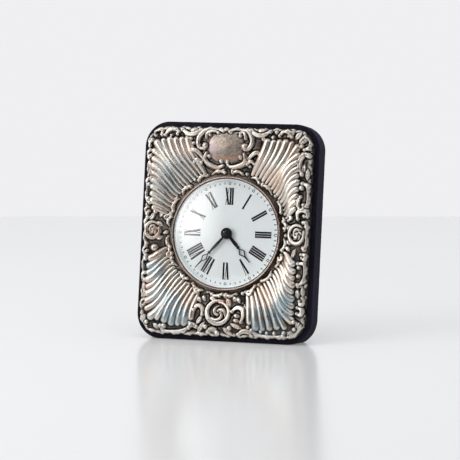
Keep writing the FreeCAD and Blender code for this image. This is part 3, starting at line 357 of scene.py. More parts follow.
class NodeBench(TreeBench):
    """Builds one material's nodes from short calls."""

    LAYER_STRENGTH = 0.55

    def __init__(self, name: str) -> None:
        """Starts a material that has no shader yet.

        Args:
            name: The material's name.
        """
        self.material = bpy.data.materials.new(name)
        self.material.use_nodes = True
        super().__init__(self.material.node_tree)
        self.output = self.new("ShaderNodeOutputMaterial")
        self.place = self.new("ShaderNodeTexCoord").outputs["Object"]

    def noise(self, grain: Grain) -> Socket:
        """Gives a soft random pattern.

        Args:
            grain: How fine it is and how far it is drawn out along each axis.

        Returns:
            The pattern's value from 0 to 1.
        """
        mapping = self.new("ShaderNodeMapping", Vector=self.place, Scale=grain.stretch)
        node = self.new("ShaderNodeTexNoise", Vector=mapping.outputs["Vector"],
                        Scale=grain.scale, Detail=grain.detail, Roughness=self.LAYER_STRENGTH)
        return node.outputs["Fac"]

    def ramp(self, value: Socket, stops: Sequence[tuple[float, Colour]]) -> Socket:
        """Turns a value into a colour.

        Args:
            value: What drives it.
            stops: Places from 0 to 1 and their colours.

        Returns:
            The colour.
        """
        node = self.new("ShaderNodeValToRGB")
        bar = node.color_ramp
        while len(bar.elements) < len(stops):
            bar.elements.new(0.5)
        for element, (place, colour) in zip(bar.elements, stops):
            element.position = place
            element.color = (*colour, 1.0)
        self.feed(node.inputs["Fac"], value)
        return node.outputs["Color"]

    def span(self, value: Socket, span: Span) -> Socket:
        """Maps a value's range onto another, held at its ends.

        Args:
            value: What is mapped.
            span: Where the mapping starts and ends, and what those two become.

        Returns:
            The mapped value.
        """
        node = self.new("ShaderNodeMapRange")
        for key, entry in zip(("Value", "From Min", "From Max", "To Min", "To Max"),
                              (value, *span)):
            self.feed(node.inputs[key], entry)
        return node.outputs["Result"]

    def blend(self, share: object, first: object, second: object) -> Socket:
        """Mixes two colours.

        Args:
            share: How much of the second there is.
            first: The colour below.
            second: The colour on top.

        Returns:
            The mixed colour.
        """
        node = self.new("ShaderNodeMix")
        node.data_type = "RGBA"
        self.feed(node.inputs[0], share)
        self.feed(node.inputs[6], first)
        self.feed(node.inputs[7], second)
        return node.outputs[2]

    def bump(self, height: Socket, grain: Grain, below: object = None) -> Socket:
        """Gives a normal that shades a pattern as relief.

        Args:
            height: The pattern.
            grain: How deep it is and how strongly it shows.
            below: A coarser normal that it adds to.

        Returns:
            The normal.
        """
        node = self.new("ShaderNodeBump", Height=height, Distance=grain.depth_mm * MM,
                        Strength=grain.strength)
        if below is not None:
            self.feed(node.inputs["Normal"], below)
        return node.outputs["Normal"]

    def attribute(self, name: str) -> Socket:
        """Gives a value that the mesh carries at each point.

        Args:
            name: The value's name on the mesh.

        Returns:
            The value.
        """
        node = self.new("ShaderNodeAttribute")
        node.attribute_name = name
        return node.outputs["Fac"]

    def principled(self, **sockets: object) -> Material:
        """Finishes the material with a principled shader of those inputs, _ for a space."""
        shader = self.new("ShaderNodeBsdfPrincipled", **sockets)
        return self.show(shader.outputs["BSDF"])

    def show(self, shader: Socket) -> Material:
        """Puts a shader on the surface and gives the material."""
        self.feed(self.output.inputs["Surface"], shader)
        return self.material


@dataclass(frozen=True)
class Finish:
    """A rigid finish: two close colours, gloss, and fine and coarse unevenness."""

    name: str
    light: Colour
    dark: Colour
    metallic: float = 0.0
    smoothest: float = 0.3
    roughest: float = 0.5
    patch_scale: float = 60.0
    grain_scale: float = 1500.0
    grain_mm: float = 0.02
    stretch: Colour = (1.0, 1.0, 1.0)
    coat: float = 0.0
    shine: float = 0.5
    patch_detail: float = 4.0
    grain_strength: float = 0.6
    shares: Pair = (0.65, 0.35)
    reach: Pair = (0.3, 0.7)

    def material(self) -> Material:
        """Builds the material.

        Returns:
            The material.
        """
        bench = NodeBench(self.name)
        grain = Grain(self.grain_scale, 2.0, self.stretch, self.grain_mm, self.grain_strength)
        patches = bench.noise(Grain(self.patch_scale, self.patch_detail, self.stretch))
        specks = bench.noise(grain)
        colour = bench.ramp(bench.weigh(patches, specks, self.shares),
                            ((self.reach[0], self.dark), (self.reach[1], self.light)))
        gloss = bench.span(patches, (*self.reach, self.smoothest, self.roughest))
        return bench.principled(Base_Color=colour, Roughness=gloss, Metallic=self.metallic,
                                Normal=bench.bump(specks, grain), Coat_Weight=self.coat,
                                Specular_IOR_Level=self.shine)


@dataclass(frozen=True)
class VelvetFinish:
    """Blue-black cotton velvet with upright nap, crushed a little in patches."""

    name: str = "night_velvet"
    pit: Colour = (0.0028, 0.0026, 0.0052)
    tip: Colour = (0.021, 0.018, 0.031)
    sheen: Colour = (0.24, 0.22, 0.33)
    sheen_weight: float = 0.34
    sheen_roughness: float = 0.38
    roughness: float = 0.92
    shine: float = 0.12
    crush: Grain = Grain(55.0, 4.0, (1.0, 1.0, 0.45))
    nap: Grain = Grain(1400.0, 2.0, (1.0, 1.0, 0.16), 0.10, 0.6)
    pile: Grain = Grain(5200.0, depth_mm=0.08, strength=0.8)
    shares: Pair = (0.45, 0.55)
    reach: Pair = (0.32, 0.72)

    def material(self) -> Material:
        """Builds the material.

        Returns:
            The material.
        """
        bench = NodeBench(self.name)
        nap = bench.noise(self.nap)
        mixed = bench.weigh(bench.noise(self.crush), nap, self.shares)
        colour = bench.ramp(mixed, ((self.reach[0], self.pit), (self.reach[1], self.tip)))
        normal = bench.bump(bench.noise(self.pile), self.pile, bench.bump(nap, self.nap))
        return bench.principled(Base_Color=colour, Roughness=self.roughness,
                                Sheen_Weight=self.sheen_weight,
                                Sheen_Roughness=self.sheen_roughness,
                                Sheen_Tint=(*self.sheen, 1.0),
                                Specular_IOR_Level=self.shine, Normal=normal)


@dataclass(frozen=True)
class SilverFinish:
    """Old embossed silver: bright ridges, black patina in the hollows, painted shade on the right
    side, rose and blue tarnish.
    """

    name: str = "embossed_silver"
    black: Colour = (0.010, 0.008, 0.008)
    smoke: Colour = (0.155, 0.128, 0.108)
    silver: Colour = (0.63, 0.58, 0.52)
    bright: Colour = (0.86, 0.82, 0.76)
    rose: Colour = (0.62, 0.45, 0.36)
    blue: Colour = (0.27, 0.42, 0.50)
    lilac: Colour = (0.72, 0.55, 0.68)
    copper: Colour = (0.62, 0.30, 0.17)
    tone_stops: Fade = (0.05, 0.40, 0.78)
    speckle: Grain = Grain(900.0, 3.0)
    patches: Grain = Grain(70.0, 3.0)
    frost: Grain = Grain(48.0, 3.0, (1.0, 1.0, 1.3))
    dents: Grain = Grain(420.0, depth_mm=0.08, strength=0.25)
    scratches: Grain = Grain(2600.0, 2.0, (1.0, 1.0, 0.3), 0.015, 0.5)
    speckle_tone: Span = (0.35, 0.7, -0.06, 0.10)
    rose_patches: Span = (0.46, 0.66, 0.0, 0.8)
    rose_in_hollows: Span = (0.05, 0.4, 1.0, 0.15)
    blue_patches: Span = (0.45, 0.62, 0.0, 0.8)
    blue_on_ridges: Span = (0.1, 0.6, 1.0, 0.1)
    blue_in_hollows: Span = (0.35, 0.8, 1.0, 0.25)
    gloss_in_hollows: Span = (0.0, 0.6, 0.29, 0.60)
    gloss_of_speckle: Span = (0.3, 0.7, -0.04, 0.08)

    def material(self) -> Material:
        """Builds the material from the patina, painted shade and ridges that the mesh carries.

        Returns:
            The material.
        """
        bench = NodeBench(self.name)
        # The mesh's darkness value holds patina in the hollows and painted shade towards the right
        # side.
        hollow, ridge = bench.attribute("hollow"), bench.attribute("ridge")
        speckle = bench.noise(self.speckle)
        depth = bench.sums("ADD", hollow, bench.span(speckle, self.speckle_tone))
        tones = (self.silver, self.smoke, self.black)
        metal = bench.ramp(depth, tuple(zip(self.tone_stops, tones)))
        rosy = bench.sums("MULTIPLY", bench.span(bench.noise(self.patches), self.rose_patches),
                          bench.span(hollow, self.rose_in_hollows))
        cold = bench.sums("MULTIPLY", bench.attribute("cold"),
                          bench.span(bench.noise(self.frost), self.blue_patches))
        cold = bench.sums("MULTIPLY", cold, bench.span(ridge, self.blue_on_ridges))
        cold = bench.sums("MULTIPLY", cold, bench.span(hollow, self.blue_in_hollows))
        colour = metal
        for share, tint in ((ridge, self.bright), (rosy, self.rose), (cold, self.blue),
                            (bench.attribute("lilac"), self.lilac),
                            (bench.attribute("copper"), self.copper)):
            colour = bench.blend(share, colour, tint)
        gloss = bench.sums("ADD", bench.span(hollow, self.gloss_in_hollows),
                           bench.span(speckle, self.gloss_of_speckle))
        dents = bench.bump(bench.noise(self.dents), self.dents)
        normal = bench.bump(bench.noise(self.scratches), self.scratches, dents)
        return bench.principled(Base_Color=colour, Metallic=1.0, Roughness=gloss, Normal=normal)


@dataclass(frozen=True)
class GlassFinish:
    """Clear domed watch glass that lets the dial's light through."""

    name: str = "clock_glass"
    tint: Colour = (0.98, 0.99, 0.99)
    ior: float = 1.62
    smears: Grain = Grain(300.0, 3.0)
    haze: Span = (0.4, 0.8, 0.0, 0.035)

    def material(self) -> Material:
        """Builds the material, open to the rays that light the dial.

        Returns:
            The material.
        """
        bench = NodeBench(self.name)
        glass = bench.new("ShaderNodeBsdfPrincipled", Base_Color=self.tint, IOR=self.ior,
                          Roughness=bench.span(bench.noise(self.smears), self.haze),
                          Transmission_Weight=1.0)
        clear = bench.new("ShaderNodeBsdfTransparent")
        open_rays = bench.any_ray("Is Shadow Ray", "Is Diffuse Ray")
        return bench.show(bench.mix_shaders(open_rays, glass.outputs["BSDF"],
                                            clear.outputs["BSDF"]))


SLOT_FINISHES: dict[str, Finish | VelvetFinish | SilverFinish | GlassFinish] = {
    "velvet": VelvetFinish(),
    "silver": SilverFinish(),
    "glass": GlassFinish(),
    "wood": Finish(
        "board_wood", light=(0.50, 0.33, 0.18), dark=(0.33, 0.20, 0.10), smoothest=0.5,
        roughest=0.7, patch_scale=90.0, grain_scale=900.0, grain_mm=0.05,
        stretch=(1.0, 1.0, 0.12)),
    "filler": Finish(
        "relief_packing", light=(0.075, 0.055, 0.040), dark=(0.040, 0.030, 0.022), smoothest=0.8,
        roughest=0.95, patch_scale=120.0, grain_scale=1200.0, grain_mm=0.08),
    "plated_steel": Finish(
        "plated_steel", light=(0.58, 0.56, 0.52), dark=(0.34, 0.33, 0.31), metallic=1.0,
        smoothest=0.26, roughest=0.42, patch_scale=150.0, grain_scale=2600.0, grain_mm=0.012,
        stretch=(1.0, 1.0, 0.25)),
    "bezel": Finish(
        "rose_silver", light=(0.66, 0.54, 0.47), dark=(0.44, 0.34, 0.28), metallic=1.0,
        smoothest=0.16, roughest=0.34, patch_scale=110.0, grain_scale=2200.0, grain_mm=0.012),
    "case_plastic": Finish(
        "case_plastic", light=(0.040, 0.040, 0.043), dark=(0.024, 0.024, 0.026), smoothest=0.38,
        roughest=0.55, patch_scale=80.0, grain_scale=3000.0, grain_mm=0.03),
    "rubber": Finish(
        "pad_rubber", light=(0.035, 0.034, 0.033), dark=(0.018, 0.018, 0.018), smoothest=0.75,
        roughest=0.9, patch_scale=200.0, grain_scale=2500.0, grain_mm=0.04),
    "dial_white": Finish(
        "dial_card", light=(0.87, 0.905, 0.915), dark=(0.83, 0.87, 0.88), smoothest=0.42,
        roughest=0.55, patch_scale=45.0, grain_scale=4200.0, grain_mm=0.006),
    "movement_plastic": Finish(
        "movement_plastic", light=(0.60, 0.60, 0.57), dark=(0.50, 0.50, 0.47), smoothest=0.35,
        patch_scale=90.0, grain_scale=2400.0),
    "wheel_plastic": Finish(
        "wheel_plastic", light=(0.78, 0.77, 0.72), dark=(0.68, 0.66, 0.61), roughest=0.45,
        patch_scale=120.0, grain_scale=2400.0),
    "soft_iron": Finish(
        "soft_iron", light=(0.46, 0.45, 0.44), dark=(0.30, 0.29, 0.28), metallic=1.0,
        smoothest=0.35, roughest=0.55, patch_scale=150.0, grain_scale=2500.0),
    "copper": Finish(
        "coil_copper", light=(0.80, 0.38, 0.20), dark=(0.52, 0.22, 0.11), metallic=1.0,
        smoothest=0.25, roughest=0.42, patch_scale=100.0, grain_scale=6000.0, grain_mm=0.05,
        stretch=(1.0, 0.1, 0.1)),
    "board": Finish(
        "circuit_board", light=(0.055, 0.20, 0.10), dark=(0.03, 0.13, 0.06), smoothest=0.35,
        patch_scale=260.0, grain_scale=2400.0),
    "chip_black": Finish(
        "chip_resin", light=(0.022, 0.022, 0.024), dark=(0.012, 0.012, 0.013), smoothest=0.35,
        roughest=0.6, patch_scale=300.0, grain_scale=4000.0),
    "cell_steel": Finish(
        "cell_steel", light=(0.78, 0.78, 0.76), dark=(0.60, 0.60, 0.58), metallic=1.0,
        smoothest=0.2, roughest=0.36, patch_scale=120.0, grain_scale=3000.0, grain_mm=0.01),
    "brass": Finish(
        "wheel_brass", light=(0.80, 0.60, 0.27), dark=(0.58, 0.41, 0.16), metallic=1.0,
        smoothest=0.2, roughest=0.38, patch_scale=140.0, grain_scale=2800.0, grain_mm=0.01),
    "knob_plastic": Finish(
        "knob_plastic", light=(0.105, 0.105, 0.11), dark=(0.070, 0.070, 0.074), roughest=0.45,
        patch_scale=120.0, grain_scale=3000.0),
    "hand_black": Finish(
        "hand_black", light=(0.010, 0.010, 0.012), dark=(0.004, 0.004, 0.005), smoothest=0.42,
        roughest=0.56, patch_scale=160.0, grain_scale=3200.0, grain_mm=0.01, shine=0.10),
}


class FinishRack:
    """Makes each finish once and lays it on the nodes that carry its slot."""

    def __init__(self) -> None:
        """Builds every material."""
        self.made = {slot: finish.material() for slot, finish in SLOT_FINISHES.items()}

    def lay(self, piece: Piece, slot: str) -> None:
        """Gives a new piece the finish kept under a slot.

        Args:
            piece: The piece.
            slot: The name of the slot, which its finish is kept under.
        """
        piece.data.materials.clear()
        piece.data.materials.append(self.made[slot])

    def dress_nodes(self) -> None:
        """Gives every CAD node the finish of the slot that it already has."""
        for node in [o for o in bpy.data.objects if "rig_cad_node" in o and o.type == "MESH"]:
            for entry in node.material_slots:
                slot = entry.material.name.split(".")[0] if entry.material else ""
                if slot in self.made:
                    entry.link = "OBJECT"
                    entry.material = self.made[slot]
            LOG.info("%s: finish laid on %d slots", node.name, len(node.material_slots))


# ---------------------------------------------------------------- silver front


@dataclass(frozen=True)
class LineWork:
    """How one kind of raised line is worked: its swell, rise, section and groove."""

    swell: tuple[float, ...]
    rise: float
    section: Section
    groove: float
    tips: Pair | None = None

    def half_widths(self, half: float) -> list[float]:
        """Gives half the line's width at even places along it, with the tips' own."""
        widths = [half * share for share in self.swell]
        return [self.tips[0], *widths, self.tips[1]] if self.tips else widths


@dataclass(frozen=True)
class PetalRing:
    """A ring or fan of petals."""

    inner: float
    outer: float
    count: int
    twist: float
    rise: float
    arc: Pair = (0.0, 360.0)


BALL_WORK = LineWork((1.0, 1.0), 1.0, Section.ROUND, 0.45)


class ReliefField:
    """A sheet of heights in front of the velvet, worked as a silversmith raises it.

    Attributes:
        from_axis: How far each place is from the dial's axis.
        inside: How far it lies inside the sheet's outline.
        ground: The height of the bare sheet there.
        raised: How far the work stands over it.
        line: How deep a chased line is there.
        plate: How much of the place is the cartouche's bare plate.
        heights: How far it stands in front of the velvet in the end.
    """

    GROOVE_REACH = 1.4
    GROOVE_GAP = 0.18
    GROOVE_WIDTH = 0.34

    def __init__(self, u_reach: float, v_low: float, v_high: float, step: float) -> None:
        """Lays out the sheet's points.

        Args:
            u_reach: How far it goes to each side of the axis, in millimetres.
            v_low: Its lowest place below the axis.
            v_high: Its highest place above it.
            step: The spacing of its points.
        """
        self.u = np.arange(-u_reach, u_reach + step, step)
        self.v = np.arange(v_low, v_high + step, step)
        self.grid_u, self.grid_v = np.meshgrid(self.u, self.v)
        self.from_axis = np.hypot(self.grid_u, self.grid_v)
        self.inside, self.ground, self.raised, self.line, self.plate, self.heights = (
            np.zeros_like(self.grid_u) for _ in range(6))

    def window(self, points: Array, reach: float) -> tuple[slice, slice]:
        """Finds the rows and columns of the sheet that lie near some points."""
        low, high = points.min(0) - reach, points.max(0) + reach
        return (slice(*np.searchsorted(self.v, (low[1], high[1]))),
                slice(*np.searchsorted(self.u, (low[0], high[0]))))

    @staticmethod
    def curve(points: Sequence[Point], per_span: int = 7) -> Array:
        """Draws a smooth line through points.

        Args:
            points: The places that it passes.
            per_span: How many steps it has between two of them.

        Returns:
            Places along the line.
        """
        p = np.asarray(points, dtype=float)
        if len(p) < 3:
            return np.linspace(p[0], p[-1], per_span + 1)
        ends = np.vstack((2 * p[0] - p[1], p, 2 * p[-1] - p[-2]))
        t = np.linspace(0, 1, per_span, endpoint=False)[:, None]
        runs = []
        for a, b, c, d in zip(ends, ends[1:], ends[2:], ends[3:]):
            runs.append(0.5 * (2 * b + (c - a) * t + (2 * a - 5 * b + 4 * c - d) * t**2
                               + (3 * b - a - 3 * c + d) * t**3))
        return np.vstack(runs + [p[-1:]])

    def stroke(self, path: Array, work: LineWork, half: float = 1.0,
               lift: float = 1.0) -> None:
        """Raises a line along a path and chases a groove beside it.

        Args:
            path: Places along its middle.
            work: How this kind of line is worked.
            half: How many times wider it is than the work's swell.
            lift: How many times higher it is than the work's rise.
        """
        half_widths = work.half_widths(half)
        widest = max(half_widths)
        win = self.window(path, widest + self.GROOVE_REACH)
        gu, gv = self.grid_u[win], self.grid_v[win]
        if gu.size == 0:
            return
        best = np.full(gu.shape, 1e9)
        along = np.zeros(gu.shape)
        for k, (a, b) in enumerate(zip(path, path[1:])):
            d = b - a
            t = np.clip(((gu - a[0]) * d[0] + (gv - a[1]) * d[1]) / max(d @ d, 1e-9), 0, 1)
            gap = np.hypot(gu - a[0] - t * d[0], gv - a[1] - t * d[1])
            near = gap < best
            best[near] = gap[near]
            along[near] = ((k + t) / (len(path) - 1))[near]
        here = np.interp(along, np.linspace(0, 1, len(half_widths)), half_widths)
        across = np.clip(best / np.maximum(here, 0.05), 0, 1)
        form = work.section.form(across, best, along)
        scale = np.clip(here / widest, 0.35, 1) ** 0.5
        self.raised[win] = np.maximum(self.raised[win], work.rise * lift * form * scale)
        trough = np.exp(-((best - here - self.GROOVE_GAP) / self.GROOVE_WIDTH) ** 2)
        self.line[win] = np.maximum(self.line[win], work.groove * trough * (across >= 0.93))

    def boss(self, place: Point, radius: float, rise: float) -> None:
        """Raises a ball."""
        path = np.array([place, (place[0] + 0.01, place[1])])
        self.stroke(path, BALL_WORK, radius, rise)

    def petals(self, place: Point, ring: PetalRing) -> None:
        """Raises a ring or fan of petals.

        Args:
            place: Its middle.
            ring: Its petals.
        """
        notch, edge_gap, edge_width, groove = 0.9, 0.2, 0.5, 0.4
        win = self.window(np.array([place, place]), ring.outer + 1.0)
        du, dv = self.grid_u[win] - place[0], self.grid_v[win] - place[1]
        r = np.hypot(du, dv)
        turn = np.degrees(np.arctan2(dv, du)) % 360
        in_arc = (turn - ring.arc[0]) % 360 <= ring.arc[1] - ring.arc[0]
        span = (r - ring.inner) / (ring.outer - ring.inner)
        swing = np.radians(turn + ring.twist * span) * ring.count
        lobe = np.abs(np.cos(swing / 2)) ** 0.6
        edge = ring.outer - notch * (1 - lobe)
        share = np.clip((r - ring.inner) / np.maximum(edge - ring.inner, 0.1), 0, 1)
        swell = np.clip(np.sin(share * math.pi) ** 0.5, 0, 1)
        inside = (r >= ring.inner) & (r <= edge) & in_arc
        form = np.where(inside, ring.rise * (0.35 + 0.65 * lobe) * swell, 0)
        self.raised[win] = np.maximum(self.raised[win], form)
        near = (np.abs(r - ring.outer - edge_gap) < edge_width) & in_arc
        self.line[win] = np.maximum(self.line[win], groove * near)

    @staticmethod
    def soften(values: Array, cells: float) -> Array:
        """Blurs values.

        Args:
            values: Values over the sheet.
            cells: How many cells the blur reaches.

        Returns:
            The blurred values.
        """
        reach = int(cells * 2.5) + 1
        weights = np.exp(-0.5 * (np.arange(-reach, reach + 1) / cells) ** 2)
        weights /= weights.sum()
        for axis in (0, 1):
            pad = [(reach, reach) if axis == k else (0, 0) for k in (0, 1)]
            wide = np.pad(values, pad, mode="edge")
            size = values.shape[axis]
            values = sum(w * np.take(wide, range(k, k + size), axis=axis)
                         for k, w in enumerate(weights))
        return values

    def uneven(self, cells: float, seed: int) -> Array:
        """Gives the smooth unevenness of hand-work.

        Args:
            cells: How many cells wide its dents are.
            seed: Which random pattern it is.

        Returns:
            Values over the sheet from -1 to 1.
        """
        rough = np.random.default_rng(seed).normal(size=self.grid_u.shape)
        soft = self.soften(rough, cells)
        return soft / max(float(np.abs(soft).max()), 1e-9)


@dataclass(frozen=True)
class ScallopedEdge:
    """The wavy cut of the sheet's outer edge."""

    depth: float = 0.42
    wave: float = 0.34
    pitch: float = 7.9
    wander: float = 0.14
    wander_rate: float = 1.9
    wander_start: float = 1.0

    def cut(self, along: Array) -> Array:
        """Gives how deep the edge is cut at places along it."""
        return (self.depth + self.wave * np.cos(along * 2 * math.pi / self.pitch)
                + self.wander * np.cos(along * self.wander_rate + self.wander_start))


@dataclass(frozen=True)
class FluteFans:
    """The flutes that fan out from the collar into the four corners."""

    work: LineWork = LineWork((1.1, 1.6, 2.1, 2.35, 2.15), 1.85, Section.FLUTE, 0.35)
    root: float = 36.8
    root_angles_deg: Pair = (15.5, 67.0)
    root_bend: Pair = (0.45, 0.36)
    tip_bend: Pair = (0.55, 0.42)
    corner: Pair = (0.28, 0.2)
    uneven_width: Pair = (0.16, 2.5)
    uneven_rise: Pair = (0.13, 1.9)
    steps: int = 19

    top_left: tuple[Point, ...] = (
        (-25.0, 52.6), (-28.6, 52.4), (-32.2, 52.3), (-35.8, 52.0), (-39.6, 51.6), (-43.4, 50.2),
        (-44.8, 45.6), (-44.8, 41.2), (-44.8, 37.2), (-44.8, 33.2), (-44.8, 29.2), (-44.8, 25.2),
        (-44.8, 21.2), (-44.4, 17.2), (-43.6, 13.2))
    top_right: tuple[Point, ...] = (
        (22.8, 52.2), (26.4, 52.0), (30.0, 52.2), (33.6, 52.0), (37.2, 51.6), (40.4, 49.4),
        (41.2, 45.2), (41.0, 41.4), (41.0, 37.6), (41.0, 33.8), (41.0, 30.0), (41.0, 26.2),
        (41.0, 22.4), (40.6, 18.8), (40.4, 15.2))
    base_left: tuple[Point, ...] = (
        (-18.2, -48.6), (-22.0, -51.4), (-25.8, -52.0), (-29.8, -51.8), (-34.0, -50.4),
        (-38.4, -49.4), (-42.4, -48.8), (-44.8, -44.4), (-44.8, -40.0), (-44.8, -36.0),
        (-44.8, -32.0), (-44.8, -28.0), (-44.8, -24.0), (-44.6, -20.0), (-43.8, -15.6))
    base_right: tuple[Point, ...] = (
        (17.0, -49.6), (21.0, -52.2), (25.0, -52.6), (29.2, -52.0), (33.4, -51.2), (37.8, -51.4),
        (41.6, -47.6), (41.4, -43.4), (41.2, -39.4), (41.0, -35.4), (41.0, -31.4), (41.0, -27.6),
        (41.0, -23.8), (41.0, -20.0), (40.6, -15.8))

    def path(self, tip: Point, share: float, side: int, up: int) -> Array:
        """Bends one flute's middle line from the collar to the edge.

        Args:
            tip: Where it ends.
            share: Its place in the fan, 0 at the top or base and 1 at the side.
            side: 1 for a fan on the right, -1 on the left.
            up: 1 for a fan above the dial, -1 below it.

        Returns:
            Places along the line.
        """
        low, high = self.root_angles_deg
        angle = math.radians(high + (low - high) * share)
        radial = np.array((side * math.cos(angle), up * math.sin(angle)))
        root, end = radial * self.root, np.array(tip)
        reach = float(np.hypot(*(end - root)))
        chord = (end - root) / reach
        out = radial * self.root_bend[0] + chord * (1 - self.root_bend[0])
        turned = min(max((share - self.corner[0]) / self.corner[1], 0.0), 1.0)
        away = np.array((side * turned, up * (1 - turned)))
        away = away / max(float(np.hypot(*away)), 1e-6) * self.tip_bend[0]
        away = away + chord * (1 - self.tip_bend[0])
        t = np.linspace(0, 1, self.steps)[:, None]
        a = root + out * reach * self.root_bend[1]
        b = end - away * reach * self.tip_bend[1]
        return (1 - t)**3 * root + 3 * (1 - t)**2 * t * a + 3 * (1 - t) * t**2 * b + t**3 * end

    def raise_on(self, sheet: ReliefField) -> None:
        """Raises the four fans.

        Args:
            sheet: The field that they are worked on.
        """
        for tips, side, up in ((self.top_left, -1, 1), (self.top_right, 1, 1),
                               (self.base_left, -1, -1), (self.base_right, 1, -1)):
            for k, tip in enumerate(tips):
                path = self.path(tip, k / (len(tips) - 1), side, up)
                wide = 1 + self.uneven_width[0] * math.sin(self.uneven_width[1] * k + up)
                tall = 1 + self.uneven_rise[0] * math.sin(self.uneven_rise[1] * k + side)
                sheet.stroke(path, self.work, wide, tall)


@dataclass(frozen=True)
class SideRosette:
    """The rosette at one side: petals, a curl round them, a comma and a ball."""

    place: Point
    outer: float
    petals: int
    twist: float
    ring_work: LineWork = LineWork((0.6, 1.15, 1.3, 1.2, 0.7), 1.9, Section.ROUND, 0.7)
    comma_work: LineWork = LineWork((0.5, 0.9, 0.95, 0.8), 1.7, Section.ROUND, 0.6)
    ring_turn: Pair = (0.9, 6.6)
    ring_width: float = 0.86
    comma_turn: Pair = (0.6, 5.4)
    comma_shrink: Pair = (1.3, 0.5)
    comma_size: Pair = (0.30, 0.52)
    petal_root: float = 0.8
    petal_gap: float = 1.2
    petal_rise: float = 1.0
    ball: Ball = (0.4, 0.3, 1.2)
    ball_rise: float = 1.8
    ring_steps: int = 30
    comma_steps: int = 16

    def raise_on(self, sheet: ReliefField) -> None:
        """Raises the rosette.

        Args:
            sheet: The field that it is worked on.
        """
        u, v = self.place
        sheet.petals(self.place, PetalRing(self.petal_root, self.outer - self.petal_gap,
                                           self.petals, self.twist, self.petal_rise))
        ring = [(u + self.outer * self.ring_width * math.cos(a), v + self.outer * math.sin(a))
                for a in np.linspace(*self.ring_turn, self.ring_steps)]
        sheet.stroke(np.array(ring), self.ring_work)
        wide, high = self.comma_size
        comma = [(u + wide * self.outer * math.cos(a) * t, v + high * self.outer * math.sin(a) * t)
                 for a, t in zip(np.linspace(*self.comma_turn, self.comma_steps),
                                 np.linspace(*self.comma_shrink, self.comma_steps))]
        sheet.stroke(np.array(comma), self.comma_work)
        sheet.boss((u + self.ball[0], v + self.ball[1]), self.ball[2], self.ball_rise)


@dataclass(frozen=True)
class BaseRosette:
    """The large rosette under the dial: a swirl that closes on three curls."""

    place: Point = (-1.8, -45.0)
    radii: Pair = (7.2, 6.9)
    shrink: Pair = (0.0030, 0.0028)
    start_deg: float = 70.0
    sweep_deg: int = 400
    step_deg: int = 20
    swirl_work: LineWork = LineWork((0.7, 1.3, 1.6, 1.5, 1.2, 0.7), 2.1, Section.CHANNEL, 0.8)
    curl_place: Point = (-1.6, -45.2)
    curl_close: float = 0.72
    curl_steps: int = 12
    curl_work: LineWork = LineWork((0.4, 0.9, 1.1, 0.9, 0.7), 1.9, Section.ROUND, 0.8)
    curl_ball: Pair = (0.95, 2.0)
    curls: tuple[tuple[float, float, float], ...] = (
        (215.0, 150.0, 5.0), (335.0, 130.0, 4.4), (95.0, 140.0, 4.0))

    def raise_on(self, sheet: ReliefField) -> None:
        """Raises the rosette.

        Args:
            sheet: The field that it is worked on.
        """
        swirl = []
        for a in range(0, self.sweep_deg, self.step_deg):
            turn = math.radians(a + self.start_deg)
            swirl.append((self.place[0] + (self.radii[0] - self.shrink[0] * a) * math.cos(turn),
                          self.place[1] + (self.radii[1] - self.shrink[1] * a) * math.sin(turn)))
        sheet.stroke(np.array(swirl), self.swirl_work)
        for start, sweep, far in self.curls:
            curl = []
            for t in np.linspace(0, 1, self.curl_steps):
                turn = math.radians(start + sweep * t)
                close = far * (1 - self.curl_close * t)
                curl.append((self.curl_place[0] + close * math.cos(turn),
                             self.curl_place[1] + close * math.sin(turn)))
            sheet.stroke(np.array(curl), self.curl_work)
            sheet.boss((float(curl[-1][0]), float(curl[-1][1])), *self.curl_ball)


@dataclass(frozen=True)
class Collar:
    """The collar of beads and short curls round the dial's opening."""

    beads: int = 46
    bead_pitch_deg: float = 7.83
    bead_wander: Pair = (1.6, 2.3)
    bead_reach: float = 35.5
    reach_wander: Pair = (0.45, 1.7)
    bead_radius: float = 1.05
    radius_wander: Pair = (0.2, 3.1)
    bead_rise: float = 1.6
    curl_reach: float = 34.5
    curl_bow: float = 1.3
    curl_sweep_deg: Pair = (9.0, 2.0)
    curl_work: LineWork = LineWork((0.35, 0.9, 1.1, 0.9), 1.5, Section.ROUND, 0.7)
    curl_ball: Pair = (1.15, 1.6)
    curl_steps: int = 9
    curl_angles: tuple[float, ...] = (
        4.0, 22.0, 41.0, 58.0, 75.0, 94.0, 112.0, 131.0, 147.0, 166.0, 184.0, 201.0, 221.0,
        238.0, 256.0, 273.0, 292.0, 311.0, 329.0, 346.0)

    def raise_on(self, sheet: ReliefField) -> None:
        """Raises the collar.

        Args:
            sheet: The field that it is worked on.
        """
        for k in range(self.beads):
            wander = self.bead_wander[0] * math.sin(k * self.bead_wander[1])
            angle = math.radians(k * self.bead_pitch_deg + wander)
            reach = self.bead_reach + self.reach_wander[0] * math.sin(k * self.reach_wander[1])
            radius = self.bead_radius + self.radius_wander[0] * math.sin(k * self.radius_wander[1])
            sheet.boss(polar(reach, angle), radius, self.bead_rise)
        sweep, more = self.curl_sweep_deg
        for k, angle in enumerate(self.curl_angles):
            start, turn = math.radians(angle), math.radians(sweep + more * (k % 3))
            path = [polar(self.curl_reach + self.curl_bow * math.sin(t * math.pi), start + turn * t)
                    for t in np.linspace(0, 1, self.curl_steps)]
            if k % 2:
                path.reverse()
            sheet.stroke(np.array(path), self.curl_work)
            sheet.boss((float(path[-1][0]), float(path[-1][1])), *self.curl_ball)


